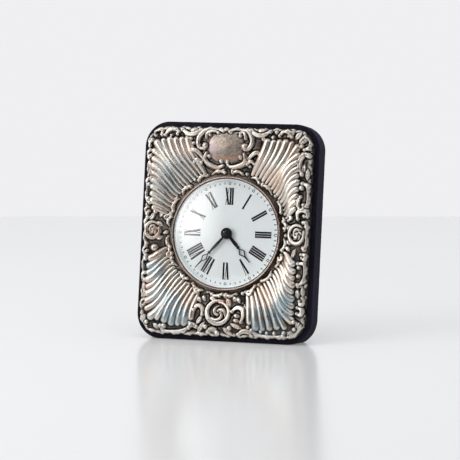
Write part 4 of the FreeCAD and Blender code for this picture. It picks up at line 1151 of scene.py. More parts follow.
@dataclass(frozen=True)
class ScrollBorder:
    """The border's scrolls, leaves and balls, its rosettes and the shells between them."""

    scroll_work: LineWork = LineWork((0.8, 1.35, 1.5, 1.35, 0.7), 2.1, Section.CHANNEL, 0.9)
    scroll_end: Pair = (1.1, 1.9)
    leaf_work: LineWork = LineWork((1.0, 1.1, 0.9), 1.6, Section.LEAF, 0.5, tips=(0.3, 0.25))
    ball_size: Fade = (1.15, 1.5, 2.1)
    rosettes: tuple[SideRosette, ...] = (
        SideRosette((-43.9, 0.5), 4.6, 5, 60.0), SideRosette((42.2, 0.8), 5.2, 6, 75.0))
    shells: tuple[tuple[Point, PetalRing], ...] = (
        ((-45.6, -52.6), PetalRing(1.4, 5.2, 18, 20.0, 1.1, (90.0, 300.0))),
        ((43.8, -52.8), PetalRing(1.4, 5.2, 18, -20.0, 1.1, (200.0, 440.0))),
        ((-5.0, -57.2), PetalRing(1.0, 4.2, 20, 0.0, 0.9, (0.0, 180.0))))
    shell_balls: tuple[Point, ...] = ((-45.0, -52.2), (43.6, -52.6))
    shell_ball: Pair = (1.3, 1.2)
    base_rosette: BaseRosette = BaseRosette()

    scrolls: tuple[Scroll, ...] = (
        (1.2, ((-46.5, 52.0), (-49.0, 49.5), (-48.6, 53.5), (-45.4, 57.4), (-41.0, 58.2),
               (-40.6, 55.2))),
        (1.0, ((-38.6, 55.0), (-36.4, 57.8), (-33.2, 58.6), (-30.8, 57.0))),
        (1.1, ((-28.4, 58.2), (-24.4, 55.8), (-20.0, 56.4), (-17.4, 58.4))),
        (1.1, ((12.8, 58.6), (16.0, 56.2), (20.2, 56.0), (24.2, 58.2))),
        (1.0, ((30.0, 56.0), (32.4, 58.6), (35.6, 57.8), (37.0, 55.4))),
        (1.1, ((45.0, 48.4), (48.2, 49.8), (48.6, 53.2), (46.0, 55.4))),
        (1.0, ((-47.2, 46.2), (-49.4, 44.4), (-48.2, 42.0), (-46.8, 43.2))),
        (1.1, ((-45.8, 30.4), (-48.6, 28.6), (-49.4, 23.2), (-48.8, 18.2), (-46.2, 16.0))),
        (0.9, ((-47.4, 13.6), (-49.2, 11.6), (-47.8, 9.6), (-46.6, 11.2))),
        (1.2, ((-47.2, 7.6), (-49.2, 4.0), (-49.4, 0.0), (-49.2, -4.0), (-47.2, -7.4))),
        (0.9, ((-47.4, -9.0), (-49.2, -10.8), (-48.0, -12.8), (-46.6, -11.4))),
        (1.1, ((-47.0, -14.2), (-49.2, -17.0), (-49.4, -21.5), (-48.8, -25.8), (-46.8, -28.4))),
        (0.9, ((-46.6, -39.2), (-49.0, -40.6), (-48.2, -43.2), (-46.4, -42.0))),
        (1.3, ((44.4, 45.8), (47.6, 45.0), (45.0, 45.6), (42.8, 42.6), (42.6, 38.4),
               (44.0, 34.6))),
        (1.1, ((44.6, 29.4), (47.8, 28.0), (49.0, 23.0), (48.4, 17.8), (45.8, 15.6))),
        (1.0, ((43.8, 22.0), (42.2, 18.4), (43.2, 15.2))),
        (1.1, ((42.6, 9.6), (42.4, 12.8), (45.0, 14.4), (48.2, 13.4), (48.4, 11.0))),
        (1.2, ((47.4, 7.4), (49.0, 3.6), (49.2, 0.0), (49.0, -4.0), (47.2, -7.6))),
        (0.9, ((45.6, -10.4), (48.2, -10.8), (48.0, -13.2), (46.2, -12.4))),
        (1.1, ((44.0, -15.6), (48.0, -15.8), (49.0, -20.0), (48.2, -24.6), (44.8, -28.2))),
        (0.9, ((47.6, -34.8), (48.8, -37.2), (46.8, -38.6), (46.0, -36.6))),
        (0.9, ((45.0, -40.2), (47.6, -41.4), (47.0, -44.2), (44.8, -43.6))),
        (1.2, ((-36.4, -54.0), (-33.6, -57.2), (-28.6, -57.6), (-23.2, -56.6), (-19.2, -54.4))),
        (1.1, ((10.6, -57.0), (13.6, -55.0), (17.4, -55.4), (18.4, -57.2))),
        (1.2, ((18.6, -54.2), (22.2, -57.0), (28.0, -57.9), (33.0, -57.8), (37.2, -56.6))),
        (1.1, ((6.4, -44.0), (9.2, -41.8), (12.4, -42.6), (13.2, -46.0), (12.2, -49.8))),
        (1.0, ((-16.4, -44.0), (-14.2, -41.4), (-11.6, -42.8), (-11.4, -46.6))),
        (1.0, ((-24.4, 43.2), (-23.0, 46.4), (-20.2, 46.8), (-17.2, 44.6), (-15.0, 41.2))),
        (1.0, ((11.2, 41.0), (14.0, 44.6), (17.2, 46.2), (19.4, 43.4))),
        (0.8, ((-20.4, 39.8), (-18.4, 41.4), (-16.0, 39.8))),
        (0.8, ((11.0, 39.2), (13.4, 41.2), (15.6, 39.4))),
        (0.8, ((-34.6, 9.6), (-36.8, 8.0), (-34.8, 6.2))),
        (0.8, ((36.6, 11.4), (38.6, 10.0), (36.8, 8.4))),
        (0.8, ((-17.6, -31.4), (-15.8, -34.0), (-13.6, -32.6))),
        (0.8, ((13.4, -32.6), (16.0, -34.0), (17.8, -31.6))),
        (0.8, ((31.8, -14.4), (34.0, -13.2), (33.4, -11.0))),
        (0.8, ((-31.6, -15.0), (-34.2, -13.6), (-33.4, -11.2))),
    )
    leaves: tuple[tuple[float, float, float, float, float], ...] = (
        (1.2, -40.6, 58.8, -36.2, 59.4), (1.1, -23.8, 57.8, -19.0, 58.6),
        (1.1, 17.0, 58.4, 21.6, 58.9), (1.5, 34.4, 55.6, 38.6, 58.4),
        (1.5, 39.4, 54.2, 42.8, 58.2), (2.0, 41.4, 51.4, 47.2, 56.8),
        (1.2, -47.6, 40.4, -47.4, 36.0), (1.2, -46.2, 37.0, -46.6, 31.6),
        (1.2, 45.2, 40.0, 45.0, 35.2), (1.2, 47.4, 37.6, 47.2, 31.4),
        (1.2, -47.2, -29.6, -47.8, -34.2), (1.2, -46.4, -33.4, -47.0, -38.4),
        (1.2, 44.4, -30.2, 45.0, -35.0), (1.1, 47.4, -29.0, 47.8, -34.0),
        (1.3, -20.8, -50.6, -12.2, -54.8), (1.1, 19.6, 48.0, 21.8, 50.4),
        (1.1, 6.6, -35.4, 8.0, -38.6), (1.0, 8.8, -36.0, 10.6, -39.2),
        (1.0, 7.4, -46.0, 10.8, -46.8), (1.0, 7.2, -48.8, 11.0, -49.4),
        (1.3, -7.6, -36.4, -3.6, -38.6), (1.4, 2.4, -36.6, 5.2, -41.4),
        (1.2, -11.4, -47.4, -14.6, -52.0), (1.3, -9.8, -50.8, -13.8, -57.2),
        (1.3, 1.6, -53.6, 7.2, -57.6), (1.2, 6.0, -51.2, 12.6, -53.6),
        (1.2, 13.4, -40.0, 15.2, -45.6), (1.2, -17.2, -40.0, -19.8, -45.8),
        (1.4, -44.4, -57.0, -38.6, -57.8), (1.3, -40.6, -53.0, -37.0, -55.6),
        (1.3, 38.6, -57.6, 43.6, -58.0), (1.3, -15.4, -57.6, -8.2, -58.2),
        (1.2, -41.6, 5.2, -38.2, 3.0), (1.2, -41.4, -4.6, -38.0, -3.2),
        (1.1, 38.6, 5.6, 36.2, 3.0), (1.2, 39.0, -5.0, 36.4, -2.4), (1.1, 38.4, -8.6, 35.8, -6.0),
        (1.2, 41.8, -7.4, 40.2, -12.8), (1.2, -42.0, -12.6, -37.6, -11.6),
        (1.1, -39.8, 8.0, -38.0, 12.2), (1.3, 21.6, 52.8, 19.4, 55.2),
        (1.2, -26.6, 54.6, -24.2, 56.4), (1.0, -14.6, -36.4, -13.0, -39.6),
        (1.0, -11.8, -35.6, -10.4, -38.8), (1.2, 42.8, -27.0, 47.6, -28.6),
        (1.2, -45.6, 6.0, -43.0, 10.6),
    )
    balls: tuple[Ball, ...] = (
        (-48.0, 48.6, 1.1), (-44.6, 54.6, 0.9), (-31.4, 55.8, 1.0), (-35.0, 54.9, 0.9),
        (-21.4, 57.9, 0.9), (26.0, 54.9, 1.0), (28.0, 57.9, 1.0), (43.2, 50.4, 1.2),
        (-47.2, 26.6, 1.1), (-47.3, 18.4, 1.1), (-42.6, 11.0, 1.2), (-48.0, 6.2, 0.9),
        (-48.0, -6.2, 0.9), (-47.2, -16.2, 1.1), (-47.2, -24.2, 1.1), (-42.4, -9.6, 1.9),
        (44.2, 27.0, 1.4), (45.6, 17.4, 1.1), (46.4, 11.2, 1.0), (46.0, 7.6, 1.0),
        (47.4, 5.2, 0.8), (46.4, -6.8, 1.0), (44.6, -17.8, 1.1), (44.6, -22.6, 1.1),
        (-48.0, -46.8, 1.2), (-34.4, -54.2, 1.5), (-18.0, -52.8, 1.5), (-9.2, -53.4, 1.2),
        (-2.0, -56.8, 1.3), (5.2, -53.6, 1.3), (16.4, -52.6, 1.1), (24.0, -54.6, 1.0),
        (27.6, -55.4, 0.9), (32.0, -55.3, 1.0), (37.6, -54.8, 1.1), (43.2, -48.4, 1.2),
        (-37.0, -1.0, 0.8), (-35.4, -7.0, 0.8), (33.6, 9.6, 0.7), (34.2, 4.0, 0.8),
        (-6.4, -34.4, 0.7), (-9.4, -33.8, 0.7), (-3.2, -34.8, 0.7), (0.4, -35.0, 0.7),
        (3.8, -34.8, 0.7), (-23.0, 53.4, 0.9), (-24.6, 51.4, 0.9), (-23.4, 48.8, 0.9),
        (-21.4, 50.8, 1.0), (-21.2, 47.8, 0.8), (-17.0, 39.0, 0.8), (12.6, 38.2, 0.8),
    )

    def raise_on(self, sheet: ReliefField) -> None:
        """Raises the border.

        Args:
            sheet: The field that it is worked on.
        """
        for half, points in self.scrolls:
            path = sheet.curve(points)
            sheet.stroke(path, self.scroll_work, half)
            for end in (path[0], path[-1]):
                sheet.boss((float(end[0]), float(end[1])), half * self.scroll_end[0],
                           self.scroll_end[1])
        for half, *ends in self.leaves:
            sheet.stroke(sheet.curve((ends[:2], ends[2:])), self.leaf_work, half)
        wide, high, limit = self.ball_size
        for u, v, radius in self.balls:
            sheet.boss((u, v), radius * wide, min(radius * high, limit))
        for rosette in self.rosettes:
            rosette.raise_on(sheet)
        for place, petals in self.shells:
            sheet.petals(place, petals)
        for place in self.shell_balls:
            sheet.boss(place, *self.shell_ball)
        self.base_rosette.raise_on(sheet)


@dataclass(frozen=True)
class Cartouche:
    """The raised shield above the dial: a bare plate among scrolls and balls."""

    block_centre: Point = (-1.8, 48.2)
    block_half: Pair = (13.4, 10.2)
    block_corner: float = 7.5
    block_rise: float = 1.05
    block_bevel: float = 2.4
    plate_centre: Point = (-1.2, 48.6)
    plate_half: Pair = (10.6, 8.6)
    plate_power: float = 2.6
    plate_edge: float = 0.08
    plate_rise: Pair = (0.15, 0.75)
    clear_limit: float = 0.12
    plate_limit: float = 0.2
    line_left: float = 0.6
    scroll_work: LineWork = LineWork((0.75, 1.15, 1.3, 1.1, 0.7), 2.2, Section.ROUND, 1.0)
    ball_size: Fade = (1.1, 1.3, 2.2)

    scrolls: tuple[Scroll, ...] = (
        (1.25, ((-3.4, 57.8), (-7.0, 59.5), (-11.2, 59.6), (-15.0, 57.8), (-17.8, 54.8),
                (-18.6, 51.2), (-17.4, 48.2), (-14.6, 47.6))),
        (1.25, ((0.2, 57.8), (4.0, 59.5), (8.0, 59.5), (11.5, 57.6), (13.6, 54.2),
                (13.6, 51.0), (12.0, 48.2), (9.8, 47.4))),
        (0.9, ((-13.4, 53.6), (-13.2, 56.4), (-10.6, 57.8), (-7.4, 57.6))),
        (0.9, ((6.4, 56.8), (8.6, 57.6), (10.0, 55.6), (10.0, 53.4))),
        (1.2, ((-13.0, 45.2), (-14.2, 42.2), (-12.6, 39.4), (-9.0, 37.6), (-5.8, 37.2),
               (-3.4, 38.4))),
        (1.2, ((9.4, 45.2), (10.4, 42.2), (9.0, 39.4), (5.0, 37.8), (1.6, 37.5), (-0.4, 38.6))),
    )
    balls: tuple[Ball, ...] = (
        (-14.2, 49.4, 1.8), (9.6, 49.2, 1.9), (-6.5, 56.9, 1.0), (-11.4, 55.6, 0.9),
        (6.8, 55.4, 1.1), (1.0, 57.3, 1.0), (-2.0, 59.2, 1.3), (-11.4, 43.4, 1.2),
        (7.2, 43.2, 1.2), (-4.4, 40.8, 1.1), (-0.6, 40.4, 1.1),
    )

    def raise_on(self, sheet: ReliefField) -> None:
        """Raises the cartouche and marks its bare plate.

        Args:
            sheet: The field that it is worked on.
        """
        u, v = sheet.grid_u, sheet.grid_v
        corner = self.block_corner
        away = corner_distance(np.abs(u - self.block_centre[0]) - (self.block_half[0] - corner),
                               np.abs(v - self.block_centre[1]) - (self.block_half[1] - corner))
        away -= corner
        sheet.ground += self.block_rise * np.clip(0.5 - away / self.block_bevel, 0, 1)
        for half, points in self.scrolls:
            sheet.stroke(sheet.curve(points), self.scroll_work, half)
        wide, high, limit = self.ball_size
        for a, b, radius in self.balls:
            sheet.boss((a, b), radius * wide, min(radius * high, limit))
        x = np.abs(u - self.plate_centre[0]) / self.plate_half[0]
        y = np.abs(v - self.plate_centre[1]) / self.plate_half[1]
        reach = (x**self.plate_power + y**self.plate_power) ** (1 / self.plate_power)
        plate = np.clip((1.0 - reach) / self.plate_edge, 0, 1)
        clear = sheet.raised < self.clear_limit
        rim, crown = self.plate_rise
        sheet.raised = np.maximum(sheet.raised, plate * (rim + crown * np.clip(1 - reach, 0, 1)))
        bare = (plate > self.plate_limit) & clear
        sheet.line = np.where(bare, sheet.line * self.line_left, sheet.line)
        sheet.plate = plate * clear


@dataclass(frozen=True)
class TarnishAndPaintedShade:
    """Where the silver is dark with patina in its hollows and with painted shade towards its right
    side, darker towards the bottom, worn bright or coloured; a fade is an amount, start and reach.
    """

    near_cells: float = 2.0
    near_depth: float = 0.62
    wide_cells: float = 5.5
    wide_depth: float = 0.9
    pit_share: float = 0.55
    bare_limit: float = 0.1
    plate_limit: float = 0.1
    bare_dark: float = 0.62
    bare_cells: float = 1.2
    bare_outward: Fade = (0.35, 33.0, 20.0)
    bare_collar: Fade = (0.4, 36.0, 3.0)
    bare_least: float = 0.6
    plate_dark: float = 0.30
    plate_clean: float = 0.8
    # Painted shade: the right side darker and the left a little lighter.
    right_painted_shade: float = 0.60
    right_shade_reach: float = 50.0
    left_painted_light_limit: float = -0.2
    # Darker towards the bottom.
    base_dark: Fade = (0.25, 0.0, 55.0)
    base_edge: Fade = (0.20, 50.0, 4.0)
    # Painted shade at the right edge.
    right_edge_painted_shade: Fade = (0.26, 42.0, 3.0)
    top_edge: Fade = (0.12, 50.0, 4.0)
    ridge_height: float = 0.30
    ridge_power: float = 1.5
    ridge_plate: float = 0.7
    cold_below: Fade = (0.8, -12.0, 40.0)
    cold_collar: Pair = (40.0, 5.0)
    cold_sides: Pair = (15.0, 5.0)
    cold_spot: Ball = (-36.0, 30.0, 320.0)
    cold_spot_share: float = 0.5
    lilac_share: float = 0.36
    lilac_place: Point = (-9.6, 48.5)
    lilac_size: Pair = (2.6, 4.5)
    copper_share: float = 0.5
    copper_place: Point = (-1.0, 42.6)
    copper_size: Pair = (8.0, 1.2)

    def patina_and_shade_map(self, sheet: ReliefField, near: Array) -> Array:
        """Finds how dark each place is: patina in the hollows and on the bare ground, with painted
        shade towards the right side.

        Args:
            sheet: The worked field.
            near: Its heights blurred a little.

        Returns:
            Shares, above 1 where it is darkest.
        """
        u, v, plate = sheet.grid_u, sheet.grid_v, sheet.plate
        wide = sheet.soften(sheet.heights, self.wide_cells)
        outward = self.bare_outward[0] * fade(sheet.from_axis, *self.bare_outward[1:])
        collar = self.bare_collar[0] * fade(sheet.from_axis, *self.bare_collar[1:])
        bare = sheet.raised < self.bare_limit
        deep = self.bare_dark * bare * (plate < self.plate_limit) * (1 - outward)
        deep *= self.bare_least + collar
        hollow = (fade(near - sheet.heights, 0.0, self.near_depth) * self.pit_share
                  + fade(wide - sheet.heights, 0.0, self.wide_depth) * self.pit_share
                  + sheet.soften(deep, self.bare_cells))
        hollow = hollow * (1 - self.plate_clean * plate) + self.plate_dark * plate
        # Painted shade: darker towards the right side and a little lighter on the left; also darker
        # towards the bottom.
        hollow *= (1 + self.right_painted_shade * np.clip(u / self.right_shade_reach, self.left_painted_light_limit, 1)
                   + self.base_dark[0] * fade(-v, *self.base_dark[1:]))
        # Darker at the bottom and top edges, and painted shade at the right edge.
        edges = sum(dark * fade(place, start, reach) for place, (dark, start, reach)
                    in ((-v, self.base_edge), (u, self.right_edge_painted_shade), (v, self.top_edge)))
        return hollow + edges * (1 - plate)

    def shares(self, sheet: ReliefField) -> dict[str, Array]:
        """Works out every value that the silver's finish reads.

        Args:
            sheet: The worked field.

        Returns:
            The values over the sheet by their names.
        """
        u, v, heights, plate = sheet.grid_u, sheet.grid_v, sheet.heights, sheet.plate
        near = sheet.soften(heights, self.near_cells)
        ridge = fade(heights - near, 0.0, self.ridge_height) ** self.ridge_power
        cold = fade(-v, *self.cold_below[1:]) * self.cold_below[0]
        cold *= fade(sheet.from_axis, *self.cold_collar)
        spot_u, spot_v, spot_size = self.cold_spot
        spot = np.exp(-((u - spot_u) ** 2 + (v - spot_v) ** 2) / spot_size)
        cold = cold * fade(np.abs(u), *self.cold_sides) + self.cold_spot_share * spot
        lilac = (-((u - self.lilac_place[0]) / self.lilac_size[0]) ** 2
                 - ((v - self.lilac_place[1]) / self.lilac_size[1]) ** 2)
        copper = (-((v - self.copper_place[1]) / self.copper_size[1]) ** 2
                  - ((u - self.copper_place[0]) / self.copper_size[0]) ** 2)
        # The darkness value holds patina in the hollows and painted shade towards the right side.
        return {"hollow": self.patina_and_shade_map(sheet, near),
                "ridge": ridge * (1 - self.ridge_plate * plate),
                "cold": np.clip(cold, 0, 1),
                "lilac": self.lilac_share * np.exp(lilac) * plate,
                "copper": self.copper_share * np.exp(copper) * plate}


@dataclass(frozen=True)
class SilverFront:
    """The embossed silver front, dished from the bezel out and trimmed to a wavy edge."""

    width: float = 100.0
    height: float = 119.5
    shift: float = 0.15
    centre_z: float = 62.2
    corner: float = 12.0
    opening: float = 31.3
    step: float = 0.335
    margin: float = 0.4
    seat: float = 1.5
    crest: float = 3.6
    dish: Pair = (33.6, 53.0)
    dish_power: float = 1.2
    roll: float = 1.7
    roll_foot: float = 0.22
    work_start: Pair = (32.9, 0.5)
    work_edge: float = 3.0
    line_limit: float = 0.25
    foremost_y: float = -30.84
    front_gap: float = 0.1
    full_work: float = 2.1
    least_work: float = 0.3
    thinnest: float = 0.25
    back_gap: float = 0.01
    hammering: tuple[tuple[float, float, int], ...] = ((0.10, 9.0, 5), (0.05, 2.5, 9))
    plate_smooth: float = 0.7
    trims: int = 3
    trim_step: float = 0.05
    least_slope: float = 0.2
    edge: ScallopedEdge = ScallopedEdge()
    fans: FluteFans = FluteFans()
    border: ScrollBorder = ScrollBorder()
    collar: Collar = Collar()
    cartouche: Cartouche = Cartouche()
    # Patina, tarnish colours, and painted shade towards the right side.
    tarnish_and_painted_shade: TarnishAndPaintedShade = TarnishAndPaintedShade()

    def edge_gap(self, u: Array, v: Array) -> Array:
        """Gives how far places lie inside the scalloped outline.

        Args:
            u: Places to the right of the dial's axis.
            v: Places above it.

        Returns:
            The distances, below 0 outside the outline.
        """
        mid = self.centre_z - FRAME.axis_height
        du = np.abs(u + self.shift) - (self.width / 2 - self.shift - self.corner)
        dv = np.abs(v - mid) - (self.height / 2 - self.corner)
        flat = self.corner - corner_distance(du, dv)
        return flat - self.edge.cut(np.where(dv > du, u, v - mid))

    def finish_heights(self, sheet: ReliefField) -> None:
        """Adds the raised work to the dished ground, with hammer marks and a rolled edge.

        Args:
            sheet: The worked field.
        """
        ring = fade(sheet.from_axis, *self.work_start)
        edge = np.clip(sheet.inside / self.roll, 0, 1)
        work = (sheet.raised - sheet.line * (sheet.raised < self.line_limit)) * ring
        high = sheet.grid_v + FRAME.axis_height
        room = ((FRAME.foot_y - self.foremost_y + high * math.sin(FRAME.lean))
                / math.cos(FRAME.lean))
        work *= np.clip((room - self.crest - self.front_gap) / self.full_work, self.least_work, 1)
        heights = sheet.ground + work * np.clip(edge * self.work_edge, 0, 1)
        marks = sum(depth * sheet.uneven(cells, seed) for depth, cells, seed in self.hammering)
        heights += marks * ring * (1 - sheet.plate * self.plate_smooth)
        heights *= self.roll_foot + (1 - self.roll_foot) * np.sqrt(1 - (1 - edge) ** 2)
        sheet.heights = np.maximum(heights, self.thinnest)

    def mesh(self) -> Piece:
        """Works the sheet and turns it into the piece.

        Returns:
            The silver front, with its patina, painted shade, ridges and tarnish at each point.
        """
        mid = self.centre_z - FRAME.axis_height
        sheet = ReliefField(self.width / 2 + self.margin, mid - self.height / 2 - self.margin,
                            mid + self.height / 2 + self.margin, self.step)
        sheet.inside = self.edge_gap(sheet.grid_u, sheet.grid_v)
        share = fade(sheet.from_axis, self.dish[0], self.dish[1] - self.dish[0])
        bowl = np.sin(share * math.pi / 2) ** self.dish_power
        sheet.ground = self.seat + (self.crest - self.seat) * bowl
        for part in (self.fans, self.border, self.collar, self.cartouche):
            part.raise_on(sheet)
        self.finish_heights(sheet)
        return self.sheet_piece(sheet, self.tarnish_and_painted_shade.shares(sheet))

    def trimmed(self, sheet: ReliefField) -> tuple[Array, Array]:
        """Draws the places outside the outline or inside the opening onto them.

        Args:
            sheet: The worked field.

        Returns:
            The places moved, right and up.
        """
        u, v, r = sheet.grid_u, sheet.grid_v, sheet.from_axis
        small = self.trim_step
        for _ in range(self.trims):
            gap = self.edge_gap(u, v)
            gu = (self.edge_gap(u + small, v) - self.edge_gap(u - small, v)) / (2 * small)
            gv = (self.edge_gap(u, v + small) - self.edge_gap(u, v - small)) / (2 * small)
            scale = np.where(gap < 0, -gap / np.maximum(gu**2 + gv**2, self.least_slope), 0)
            u, v = u + gu * scale, v + gv * scale
        pull = np.where(r < self.opening, self.opening / np.maximum(r, 1e-6), 1.0)
        return u * pull, v * pull

    def sheet_piece(self, sheet: ReliefField, shares: dict[str, Array]) -> Piece:
        """Trims the worked sheet to its outline and opening and turns its rims back.

        Args:
            sheet: The worked field.
            shares: Values that the silver's finish reads at each point.

        Returns:
            The piece.
        """
        u, v = self.trimmed(sheet)
        keep = (sheet.inside > 0) & (sheet.from_axis > self.opening)
        cells = keep[:-1, :-1] | keep[1:, :-1] | keep[:-1, 1:] | keep[1:, 1:]
        number = np.arange(u.size).reshape(u.shape)
        quads = np.column_stack((number[:-1, :-1][cells], number[:-1, 1:][cells],
                                 number[1:, 1:][cells], number[1:, :-1][cells]))
        used, quads = np.unique(quads, return_inverse=True)
        quads = quads.reshape(-1, 4)
        front = np.column_stack((u.ravel()[used], -sheet.heights.ravel()[used],
                                 v.ravel()[used] + FRAME.axis_height))
        limit = ((self.foremost_y - FRAME.foot_y - front[:, 2] * math.sin(FRAME.lean))
                 / math.cos(FRAME.lean))
        front[:, 1] = np.maximum(front[:, 1], limit)
        edges = np.vstack([quads[:, [i, (i + 1) % 4]] for i in range(4)])
        _, where, times = np.unique(np.sort(edges, axis=1), axis=0, return_index=True,
                                    return_counts=True)
        rim = edges[where[times == 1]]
        ends, turned = np.unique(rim, return_inverse=True)
        turned = turned.reshape(-1, 2) + len(front)
        back = front[ends].copy()
        back[:, 1] = -self.back_gap
        skirt = np.column_stack((rim[:, 1], rim[:, 0], turned[:, 0], turned[:, 1]))
        points = np.vstack((front, back))
        piece = make_piece("silver_relief", points, np.vstack((quads, skirt)), Body.STAND)
        for name, values in shares.items():
            flat = values.ravel()[used]
            flat = np.concatenate((flat, flat[ends])).astype(np.float32)
            piece.data.attributes.new(name, "FLOAT", "POINT").data.foreach_set("value", flat)
        return piece

    def build(self, rack: FinishRack) -> None:
        """Builds the silver and puts it in place of its solid.

        Args:
            rack: The finishes.
        """
        piece = self.mesh()
        rack.lay(piece, "silver")
        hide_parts("silver_front")


# ---------------------------------------------------------------- velvet board


@dataclass(frozen=True)
class VelvetBoard:
    """The velvet stretched over the leaning board and over its back panel."""

    width: float = 104.5
    height: float = 124.5
    corner: float = 14.5
    depth: float = 15.0
    panel_front: float = 13.4
    bore: float = 31.3
    fold: float = 9.0
    edge_roll: float = 1.1
    panel_inset: float = 1.2
    panel_roll: float = 0.55
    ground_gap: float = 0.005
    glue_gap: float = 0.01
    columns: int = 384
    front_rows: int = 9
    side_rows: int = 9
    back_rows: int = 8
    halvings: int = 40
    farthest: float = 90.0
    pile_seed: int = 11
    pile_depth: float = 0.13
    fold_shares: tuple[float, ...] = (0.33, 0.66, 1.0)
    fine_turn: tuple[float, ...] = (22.5, 45.0, 67.5, 90.0)
    coarse_turn: tuple[float, ...] = (30.0, 60.0, 90.0)

    def ring(self, inset: float, y: float) -> Array:
        """Draws the board's outline, cut off level at the ground.

        Args:
            inset: How far it is drawn in.
            y: Its depth.

        Returns:
            Upright-frame places round it.
        """
        turn = np.linspace(0, 2 * math.pi, self.columns, endpoint=False)
        cu, cv = np.cos(turn), np.sin(turn)
        near, far = np.zeros_like(turn), np.full_like(turn, self.farthest)
        mid = self.height / 2
        for _ in range(self.halvings):
            t = (near + far) / 2
            du = np.abs(t * cu) - (self.width / 2 - self.corner)
            dv = np.abs(t * cv + FRAME.axis_height - mid) - (mid - self.corner)
            gap = corner_distance(du, dv) - self.corner + inset
            near, far = np.where(gap < 0, t, near), np.where(gap < 0, far, t)
        z = np.maximum(near * cv + FRAME.axis_height, y * FRAME.rise + self.ground_gap)
        return np.column_stack((near * cu, np.full_like(turn, y), z))

    def circle(self, radius: float, y: float) -> Array:
        """Gives upright-frame places round a circle about the dial's axis, at a depth."""
        turn = np.linspace(0, 2 * math.pi, self.columns, endpoint=False)
        return np.column_stack((radius * np.cos(turn), np.full_like(turn, y),
                                radius * np.sin(turn) + FRAME.axis_height))

    def roughen(self, rows: Sequence[Array]) -> None:
        """Sinks points of the sides at random, as the pile stands unevenly.

        Args:
            rows: The sides' rows of points, which are changed in place.
        """
        pile = np.random.default_rng(self.pile_seed)
        for row in rows:
            inward = row * (1, 0, 1) - (0, 0, FRAME.axis_height)
            inward /= np.maximum(np.linalg.norm(inward, axis=1, keepdims=True), 1e-6)
            row -= inward * pile.uniform(0.0, self.pile_depth, (self.columns, 1))
            row[:, 2] = np.maximum(row[:, 2], row[:, 1] * FRAME.rise + self.ground_gap)

    def wrap(self) -> Piece:
        """Builds the velvet that wraps the board, from the bore to the fold at the back.

        Returns:
            The piece.
        """
        roll, behind = self.edge_roll, self.panel_front - self.glue_gap
        start, end = self.circle(self.bore, 0.0), self.ring(roll, 0.0)
        rows = [start + (end - start) * t for t in np.linspace(0, 1, self.front_rows)]
        rows += [self.ring(roll * (1 - math.sin(a)), roll * (1 - math.cos(a)))
                 for a in np.radians(self.fine_turn)]
        side_start = len(rows) - 1
        rows += [self.ring(0.0, y)
                 for y in np.linspace(roll, self.panel_front - roll, self.side_rows)[1:]]
        rows += [self.ring(roll * (1 - math.cos(a)),
                           self.panel_front - roll * (1 - math.sin(a)) - self.glue_gap)
                 for a in np.radians(self.coarse_turn)]
        self.roughen(rows[side_start:-1])
        rows += [self.ring(roll + (self.fold - roll) * t, behind) for t in self.fold_shares]
        return make_piece("velvet_wrap", np.vstack(rows),
                          grid_faces(len(rows), self.columns, True, flip=True), Body.STAND)

    def back(self) -> Piece:
        """Builds the velvet over the back panel.

        Returns:
            The piece.
        """
        roll, inset, turns = self.panel_roll, self.panel_inset, np.radians(self.coarse_turn)
        front = self.panel_front + 2 * self.glue_gap
        rows = [self.circle(self.bore, front), self.circle(self.bore, self.depth - roll)]
        rows += [self.circle(self.bore + roll * (1 - math.cos(a)),
                             self.depth - roll * (1 - math.sin(a))) for a in turns]
        start, end = rows[-1], self.ring(inset + roll, self.depth)
        rows += [start + (end - start) * t for t in np.linspace(0, 1, self.back_rows)[1:]]
        rows += [self.ring(inset + roll * (1 - math.sin(a)),
                           self.depth - roll * (1 - math.cos(a))) for a in turns]
        rows.append(self.ring(inset, front))
        return make_piece("back_velvet", np.vstack(rows),
                          grid_faces(len(rows), self.columns, True), Body.STAND)

    def build(self, rack: FinishRack) -> None:
        """Builds both sheets and puts them in place of their solids.

        Args:
            rack: The finishes.
        """
        wrap = self.wrap()
        rack.lay(wrap, "velvet")
        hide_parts("velvet_cover")
        back = self.back()
        rack.lay(back, "velvet")
        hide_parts("back_panel")


